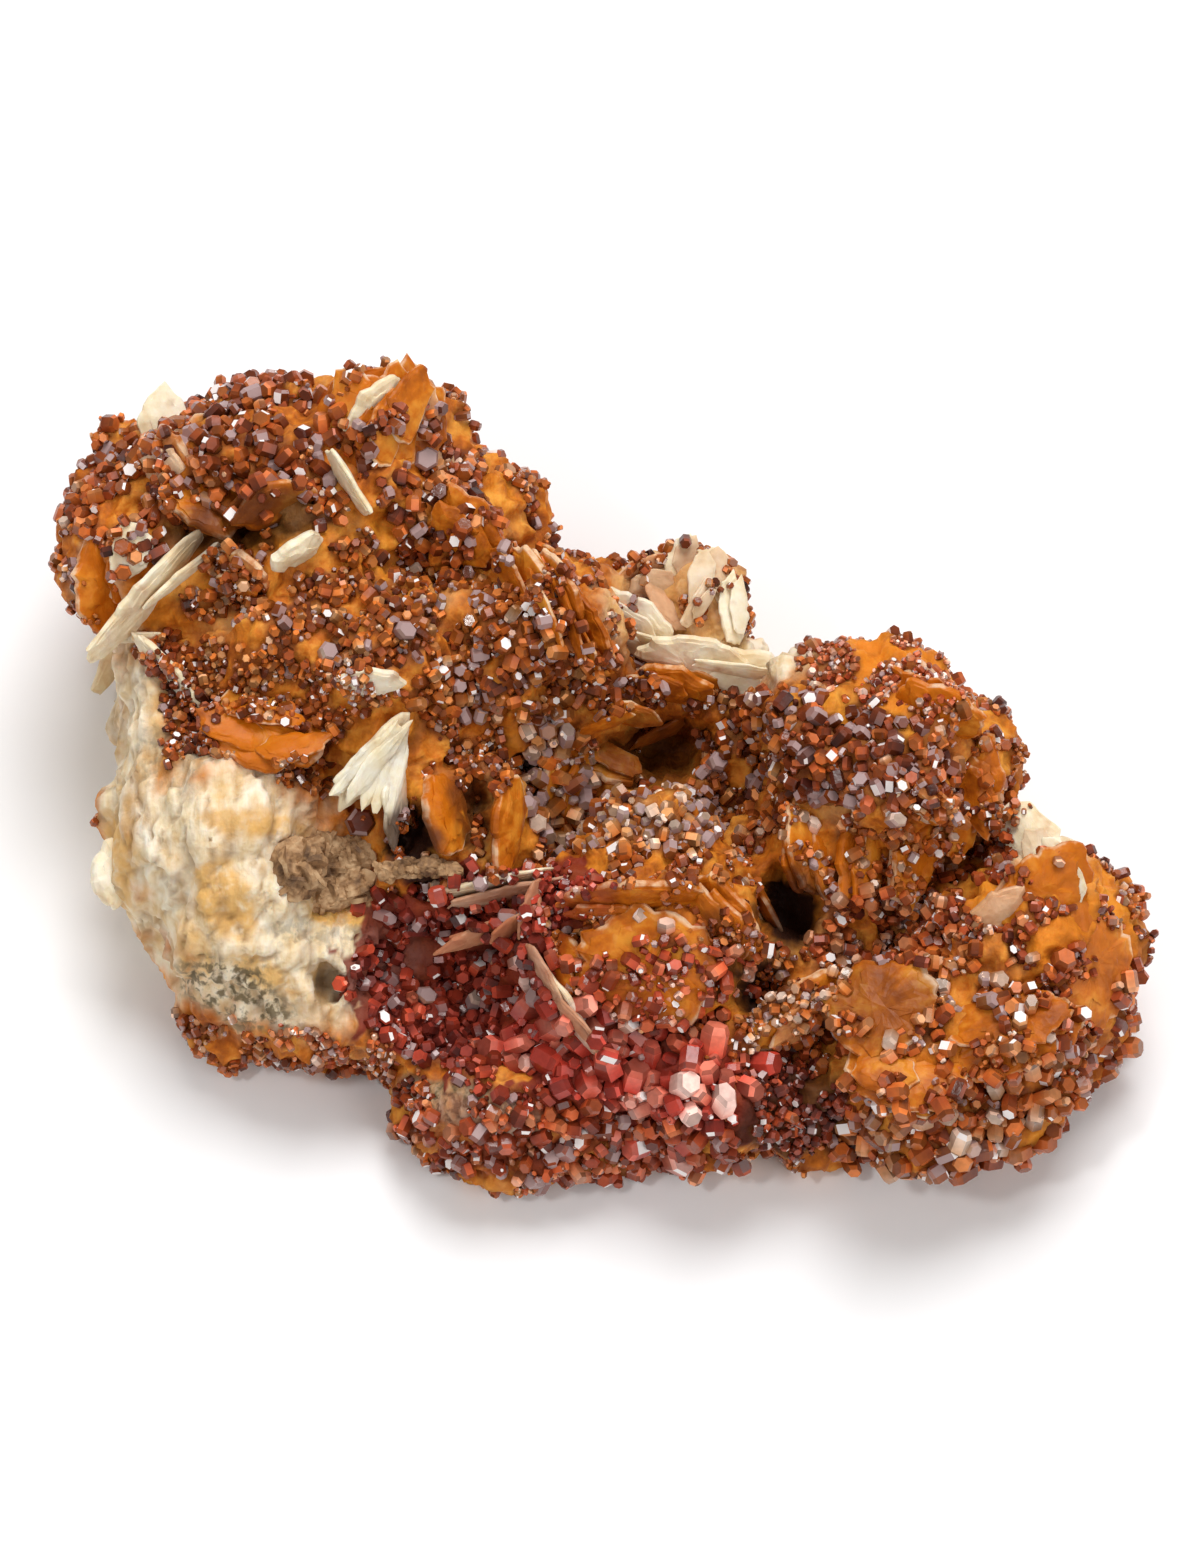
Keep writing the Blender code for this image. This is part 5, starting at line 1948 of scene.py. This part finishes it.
@dataclass
class VanadiniteDruses:
    """Thousands of small prisms over the barite, in one piece for each crust of the frame."""

    tries_per_area: float = 16.0
    closest: float = 0.78
    lean: float = 0.75
    stragglers: float = 0.12
    sizes: Range = (0.32, 0.95)
    mostly_small: float = 1.5
    heights: Range = (0.6, 1.25)
    squeeze: Range = (0.66, 1.12)
    spins: Range = (0.0, 1.05)
    tones: Range = (0.02, 0.17)
    frosts: Range = (0.5, 1.0)
    sunk: float = 0.25
    # How near the base a crystal may stand, in widths, and how far it may be inside the barite.
    over_base: float = 0.6
    buried: float = 0.25
    # How much luck decides whether a large or a small crystal takes a place first.
    turns: Range = (0.4, 1.0)
    # How much lighter a crystal is painted toward its tip and darker toward its base, as painted light and
    # shade.
    painted_tip_light: float = 0.22
    # The share of facets painted as white glints, a painted highlight.
    painted_glints: float = 0.028
    # Tiny crystals on the others: how many, their widths, how far out, how much paler they are painted as
    # glitter highlights, and how many frosted.
    specks: int = 2600
    speck_sizes: Range = (0.22, 0.5)
    speck_out: float = 0.42
    speck_painted_glitter: float = 0.55
    speck_frost: float = 0.35
    seed: int = 23
    crystals: list[Crystal] = field(default_factory=list)

    def scatter(self, surfaces: Sequence[Mesh], body: BVHTree) -> None:
        """Grows crystals over the surfaces.

        Args:
            surfaces: The meshes that crystals stand on, in layout units.
            body: The tree of the massive barite, where no crystal is buried.
        """
        draw = np.random.default_rng(self.seed)
        for mesh in surfaces:
            points, normals = self._samples(mesh, draw)
            growth = growth_at(points, normals, draw.random(len(points)))
            keep = patches(points) + self.stragglers * draw.uniform(-1, 1, len(points)) < growth[:, 0]
            points, normals, growth = points[keep], normals[keep], growth[keep]
            self._stand(points, normals, growth, body, draw)
        LOG.info("%d crystals", len(self.crystals))

    def _samples(self, mesh: Mesh, draw: np.random.Generator) -> tuple[np.ndarray, np.ndarray]:
        """Draws random points on a mesh, spread evenly over its area.

        Args:
            mesh: The mesh.
            draw: Where the draws come from.

        Returns:
            The points and the normals there, one a row.
        """
        mesh.calc_loop_triangles()
        corners = np.empty(len(mesh.loop_triangles) * 3, np.int32)
        mesh.loop_triangles.foreach_get("vertices", corners)
        places = points_of(mesh)[corners.reshape(-1, 3)]
        first, second = places[:, 1] - places[:, 0], places[:, 2] - places[:, 0]
        crosses = np.cross(first, second)
        areas = np.linalg.norm(crosses, axis=1) / 2
        count = int(areas.sum() * self.tries_per_area)
        picks = draw.choice(len(areas), count, p=areas / areas.sum())
        share = draw.random((count, 2))
        over = share.sum(1) > 1.0
        share[over] = 1.0 - share[over]
        points = places[picks, 0] + first[picks] * share[:, :1] + second[picks] * share[:, 1:]
        return points, crosses[picks] / (2 * areas[picks, None] + 1e-9)

    def _stand(
        self,
        points: np.ndarray,
        normals: np.ndarray,
        growth: np.ndarray,
        body: BVHTree,
        draw: np.random.Generator,
    ) -> None:
        """Stands a crystal at each point that has room for it and isn't buried or under the base.

        Args:
            points: The points, one a row.
            normals: The surface normals there.
            growth: What grows there.
            body: The tree of the massive barite.
            draw: Where the draws come from.
        """
        taken: Taken = {}
        for crystal in self.crystals:
            middle = np.array(crystal.middle)
            taken.setdefault(cube_of(middle), []).append((middle, crystal.width))
        low, high = self.sizes
        widths = growth[:, 1] * (low + (high - low) * draw.random(len(points)) ** self.mostly_small)
        order = np.argsort(-widths * draw.uniform(*self.turns, len(points)))
        for index in order:
            point, width = points[index], widths[index]
            if point[2] < width * self.over_base or self._crowded(taken, point, width):
                continue
            nearest, normal, _, _ = body.find_nearest(Vector(point))
            if (Vector(point) - nearest).dot(normal) < -self.buried:
                continue
            taken.setdefault(cube_of(point), []).append((point, width))
            crystal = self._crystal(Vector(point), Vector(normals[index]), width, growth[index], draw)
            self.crystals.append(crystal)

    def _crowded(self, taken: Taken, point: np.ndarray, width: float) -> bool:
        """Finds whether another crystal stands too near.

        Args:
            taken: The crystals that already stand.
            point: Where the new one would stand.
            width: Its width.

        Returns:
            Whether one is too near.
        """
        for cube in product(*(range(low - 1, low + 2) for low in cube_of(point))):
            for other, wide in taken.get(cube, ()):
                room = self.closest * (wide + width) / 2
                if ((other - point) ** 2).sum() < room * room:
                    return True
        return False

    def _crystal(
        self, point: Vector, normal: Vector, width: float, growth: np.ndarray, draw: np.random.Generator
    ) -> Crystal:
        """Draws a crystal that leans at random from the normal.

        Args:
            point: Where it stands.
            normal: The surface normal there.
            width: Its width.
            growth: What grows there.
            draw: Where the draws come from.

        Returns:
            The crystal.
        """
        _, _, tone, red, frost = growth
        axis = (normal + Vector(draw.normal(0.0, self.lean, 3))).normalized()
        if axis.dot(normal) < 0.0:
            axis = -axis
        height = width * draw.uniform(*self.heights)
        middle = point + normal * (0.5 * min(width, height) * (1.0 - 2.0 * self.sunk))
        tone = float(np.clip(tone + draw.normal(*self.tones), 0.0, 1.0))
        frosted = float(draw.random() < frost) * draw.uniform(*self.frosts)
        return Crystal(middle, axis, draw.uniform(*self.spins), width, height, tone, red, frosted)

    def add_specks(self) -> None:
        """Sets tiny crystals on the small ones, painted paler to stand for glitter, a painted highlight."""
        chance = random.Random(self.seed)
        hosts = list(self.crystals)
        for _ in range(self.specks):
            host = chance.choice(hosts)
            way = (host.axis + Vector([chance.uniform(-1.0, 1.0) for _ in range(3)])).normalized()
            middle = host.middle + way * self.speck_out * min(host.width, host.height)
            width = chance.uniform(*self.speck_sizes)
            # Painted glitter: the speck is paler than its host.
            tone = min(1.0, host.tone + chance.uniform(0.0, self.speck_painted_glitter))
            frost = 1.0 if chance.random() < self.speck_frost else 0.0
            spin = chance.uniform(*self.spins)
            self.crystals.append(Crystal(middle, way, spin, width, width, tone, host.red, frost))

    def add_gems(self, search: BVHTree) -> None:
        """Adds the large crystals that are placed by eye.

        Args:
            search: The tree of the massive barite.
        """
        for gem in GEMS:
            point, _ = sight(search, gem.across, gem.up, Side.DISPLAY)
            if point is None:
                continue
            spin, lean = math.radians(gem.heading), math.radians(gem.lean)
            way = RIGHT * math.cos(spin) + UPWARD * math.sin(spin)
            axis = TOWARD * math.cos(lean) + way * math.sin(lean)
            middle = point + TOWARD * gem.height * 0.25
            look = (gem.width, gem.height, gem.tone, gem.red, gem.frost)
            self.crystals.append(Crystal(middle, axis, spin, *look))

    def _mesh(self, name: str, crystals: Sequence[Crystal]) -> Mesh:
        """Makes one mesh of many prisms.

        Args:
            name: The mesh's name.
            crystals: The crystals.

        Returns:
            The mesh, with its masks.
        """
        chance = random.Random(self.seed)
        prism, faces = PrismShape().points(), PrismShape().faces()
        rise = prism[:, 2]
        parts = MeshParts()
        for crystal in crystals:
            upright = crystal.axis.to_track_quat("Z", "Y").to_matrix()
            turn = np.array(upright @ Matrix.Rotation(crystal.spin, 3, "Z"))
            half = crystal.width / 2
            size = np.array([half * chance.uniform(*self.squeeze), half, crystal.height])
            points = (prism * size) @ turn.T + np.array(crystal.middle)
            # Each face gets a random painted light and shade, and a few a painted glint.
            painted_facet_lights = np.array([self._painted_facet_light(chance) for _ in faces])
            # Painted light: each crystal is lighter toward its tip and darker toward its base.
            values = {Mask.TONE_AND_TIP_LIGHT: np.clip(crystal.tone + self.painted_tip_light * rise, 0.0, 1.0)}
            for mask, value in {Mask.RED: crystal.red, Mask.FROST: crystal.frost}.items():
                values[mask] = np.full(len(points), value)
            parts.add(points, faces, values, {Mask.BLADE_TONE_AND_FACET_LIGHT: painted_facet_lights})
        return parts.mesh(name)

    def _painted_facet_light(self, chance: random.Random) -> float:
        """The painted light of a facet, from 0 to 1, or 2 where it carries a painted glint."""
        return 2.0 if chance.random() < self.painted_glints else chance.random()

    def build(self, brown: Material, red: Material) -> None:
        """Makes one piece for each of the frame's crusts, from the crystals nearest to it.

        Args:
            brown: The material of the brown crusts.
            red: The material of the red ones.
        """
        middles = []
        for crust in CRUSTS:
            low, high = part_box(crust.node)
            middles.append(np.array((low + high) / 2) / UNIT + np.array([*BASE_MIDDLE, 0.0]))
        sizes = np.array([crust.reach for crust in CRUSTS])
        shares: list[list[Crystal]] = [[] for _ in CRUSTS]
        for crystal in self.crystals:
            away = np.linalg.norm(np.array(middles) - np.array(crystal.middle), axis=1) / sizes
            shares[int(away.argmin())].append(crystal)
        for crust, crystals in zip(CRUSTS, shares):
            name = crust.node.replace("vanadinite", "crystals")
            finish = red if crust.slot is Slot.RED_VANADINITE else brown
            piece = finished_piece(self._mesh(name, crystals), name, finish)
            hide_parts(crust.node)


@dataclass
class WeatheredKnot:
    """The grey-brown knot: wrinkled lobes round a hollow, with curled plates on edge all over them."""

    # Each lobe: its middle on the display plane, and its half width, half height and depth.
    lobes: tuple[tuple[float, float, float, float, float], ...] = (
        (-22.0, -6.8, 2.3, 2.4, 1.7),
        (-20.2, -5.3, 1.9, 1.3, 1.5),
        (-17.9, -6.0, 1.9, 1.6, 1.6),
        (-17.8, -8.0, 1.8, 1.5, 1.5),
        (-20.2, -8.7, 2.3, 1.5, 1.6),
        (-19.6, -7.0, 2.6, 1.8, 0.9),
        (-15.2, -7.0, 1.2, 0.8, 0.9),
        (-13.7, -6.7, 1.3, 0.8, 0.9),
        (-12.1, -6.6, 1.3, 0.8, 0.9),
        (-10.7, -6.9, 1.1, 0.7, 0.8),
    )
    proud: float = 0.3
    wrinkle: float = 0.5
    plates_per_lobe: int = 8
    plate_sizes: Range = (0.35, 0.6)
    plate_depths: Range = (0.7, 0.88)
    thick: float = 0.35
    bend: float = 0.2
    seed: int = 3

    def build(self, search: BVHTree, finish: Material) -> Object:
        """Makes the piece that stands for the frame's knot.

        Args:
            search: The tree of the massive barite.
            finish: The piece's material.

        Returns:
            The piece.
        """
        chance = random.Random(self.seed)
        form = bmesh.new()
        for across, up, wide, high, deep in self.lobes:
            point, _ = sight(search, across, up, Side.DISPLAY)
            place = Matrix.Translation(point + TOWARD * self.proud) @ FACING_VIEWER
            frame = place @ Matrix.Diagonal((wide, high, deep, 1.0))
            self._add_lobe(form, frame)
            self._add_plates(form, frame, min(wide, high), chance)
        name = "weathered_rosette"
        piece = finished_piece(mesh_of(form, name), name, finish)
        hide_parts("weathered_knot")
        return piece

    def _add_lobe(self, form: BMesh, frame: Matrix) -> None:
        """Adds a wrinkled lobe, a unit ball in its own frame.

        Args:
            form: What it is added to.
            frame: The lobe's frame.
        """
        for vert in bmesh.ops.create_icosphere(form, subdivisions=4, radius=1.0)["verts"]:
            place = frame @ vert.co
            folds = abs(noise.noise(place * 0.9)) + 0.5 * abs(noise.noise(place * 2.1))
            vert.co = frame @ (vert.co * (1.1 - self.wrinkle * folds))

    def _add_plates(self, form: BMesh, frame: Matrix, size: float, chance: random.Random) -> None:
        """Sets bent plates on edge all over a lobe.

        Args:
            form: What they are added to.
            frame: The lobe's frame.
            size: The smaller of the lobe's half width and half height.
            chance: Where the draws come from.
        """
        for index in range(self.plates_per_lobe):
            turn = index * 2.4 + chance.uniform(0.0, 1.0)
            rise = chance.uniform(0.1, 1.0)
            flat = math.sqrt(1.0 - rise * rise)
            way = Vector((math.cos(turn) * flat, math.sin(turn) * flat, rise))
            across = way.orthogonal()
            across.rotate(Matrix.Rotation(chance.uniform(0.0, math.tau), 3, way))
            upright = across.to_track_quat("Z", "Y").to_matrix().to_4x4()
            radius = size * chance.uniform(*self.plate_sizes)
            place = Matrix.Translation(frame @ (way * chance.uniform(*self.plate_depths))) @ upright
            cone = {"radius1": radius, "radius2": radius * 0.9, "depth": self.thick, "matrix": place}
            for vert in bmesh.ops.create_cone(form, cap_ends=True, segments=12, **cone)["verts"]:
                bend = noise.noise(vert.co * 0.9 + Vector((turn, 0.0, 0.0)))
                vert.co += Vector((self.bend,) * 3) * bend


@dataclass(frozen=True)
class SoftLamp:
    """A large soft lamp: its place round the specimen, its size in metres and its power in watts."""

    name: str
    azimuth: float
    elevation: float
    distance: float
    size: float
    power: float

    def build(self, aim: Vector) -> None:
        """Hangs the lamp so that it faces the aim.

        Args:
            aim: The point that it faces, in the row frame.
        """
        way = view_axes(self.azimuth, self.elevation)[2]
        light = bpy.data.lights.new(self.name, "AREA")
        light.size = self.size
        light.energy = self.power
        lamp = new_object(self.name, light)
        lamp.location = aim + way * self.distance
        lamp.rotation_euler = way.to_track_quat("Z", "Y").to_euler()


@dataclass
class Studio:
    """The floor, the light and the camera of the photograph."""

    floor_size: float = 4.0
    floor_color: Color = (0.92, 0.92, 0.93)
    floor_roughness: float = 0.9
    sky_color: Color = (1.0, 0.97, 0.93)
    sky_strength: float = 0.34
    lens: float = 200.0
    sensor: float = 36.0
    view_height: float = 114.05
    aim: Triple = (0.294, 0.037, 18.0)
    lamps: tuple[SoftLamp, ...] = (
        SoftLamp("key", 165.0, 62.0, 1.2, 0.62, 12.0),
        SoftLamp("fill", 50.0, 40.0, 1.2, 0.70, 3.8),
        SoftLamp("sparkle", -60.0, 60.0, 0.5, 0.06, 0.45),
    )

    def build(self) -> None:
        """Builds the floor, lamps, world and camera."""
        self._floor()
        self._world()
        across, up, out = self.aim
        aim = row_point(RIGHT * across + UPWARD * up + TOWARD * out)
        for lamp in self.lamps:
            lamp.build(aim)
        self._camera(aim)
        bpy.context.scene.view_settings.view_transform = "Standard"

    def _floor(self) -> None:
        """Lays the pale plain floor."""
        form = bmesh.new()
        bmesh.ops.create_grid(form, x_segments=1, y_segments=1, size=self.floor_size / 2)
        floor = new_object("floor", mesh_of(form, "floor"))
        material, wiring, shader = new_material("floor")
        wiring.feed(shader, {"Base Color": (*self.floor_color, 1.0), "Roughness": self.floor_roughness})
        floor.data.materials.append(material)

    def _world(self) -> None:
        """Fills the surroundings with even light."""
        world = bpy.data.worlds.new("studio")
        world.use_nodes = True
        sky = world.node_tree.nodes["Background"]
        sky.inputs["Color"].default_value = (*self.sky_color, 1.0)
        sky.inputs["Strength"].default_value = self.sky_strength
        bpy.context.scene.world = world

    def _camera(self, aim: Vector) -> None:
        """Sets the camera square to the display plane.

        Args:
            aim: The point in the middle of the picture, in the row frame.
        """
        lens = bpy.data.cameras.new("camera")
        lens.lens = self.lens
        lens.sensor_width = self.sensor
        lens.clip_end = 10.0
        camera = new_object("camera", lens)
        distance = self.view_height * UNIT * self.lens / self.sensor
        camera.matrix_world = Matrix.Translation(aim + TOWARD * distance) @ FACING_VIEWER
        bpy.context.scene.camera = camera


def main() -> None:
    """Builds the specimen and its studio."""
    logging.basicConfig(level=logging.INFO, format="%(message)s")
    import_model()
    effects = Effects.build()
    barite, blades = MassiveBarite(), BladedBarite()
    rough = barite.rough_mesh()
    body_mesh = barite.fine_mesh(rough)
    blade_mesh = blades.mesh(search_of(rough))
    search = search_of(body_mesh)
    druses = VanadiniteDruses()
    druses.add_gems(search)
    druses.scatter((body_mesh, blade_mesh), search)
    druses.add_specks()
    barite.build(body_mesh, BariteFinish().build(effects))
    blades.build(blade_mesh, BladeFinish().build(effects))
    brown = VanadiniteFinish("brown_vanadinite").build(effects)
    red = VanadiniteFinish("red_vanadinite").build(effects)
    druses.build(brown, red)
    WeatheredKnot().build(search, WeatheredFinish().build(effects))
    Studio().build()


if __name__ == "__main__":
    main()
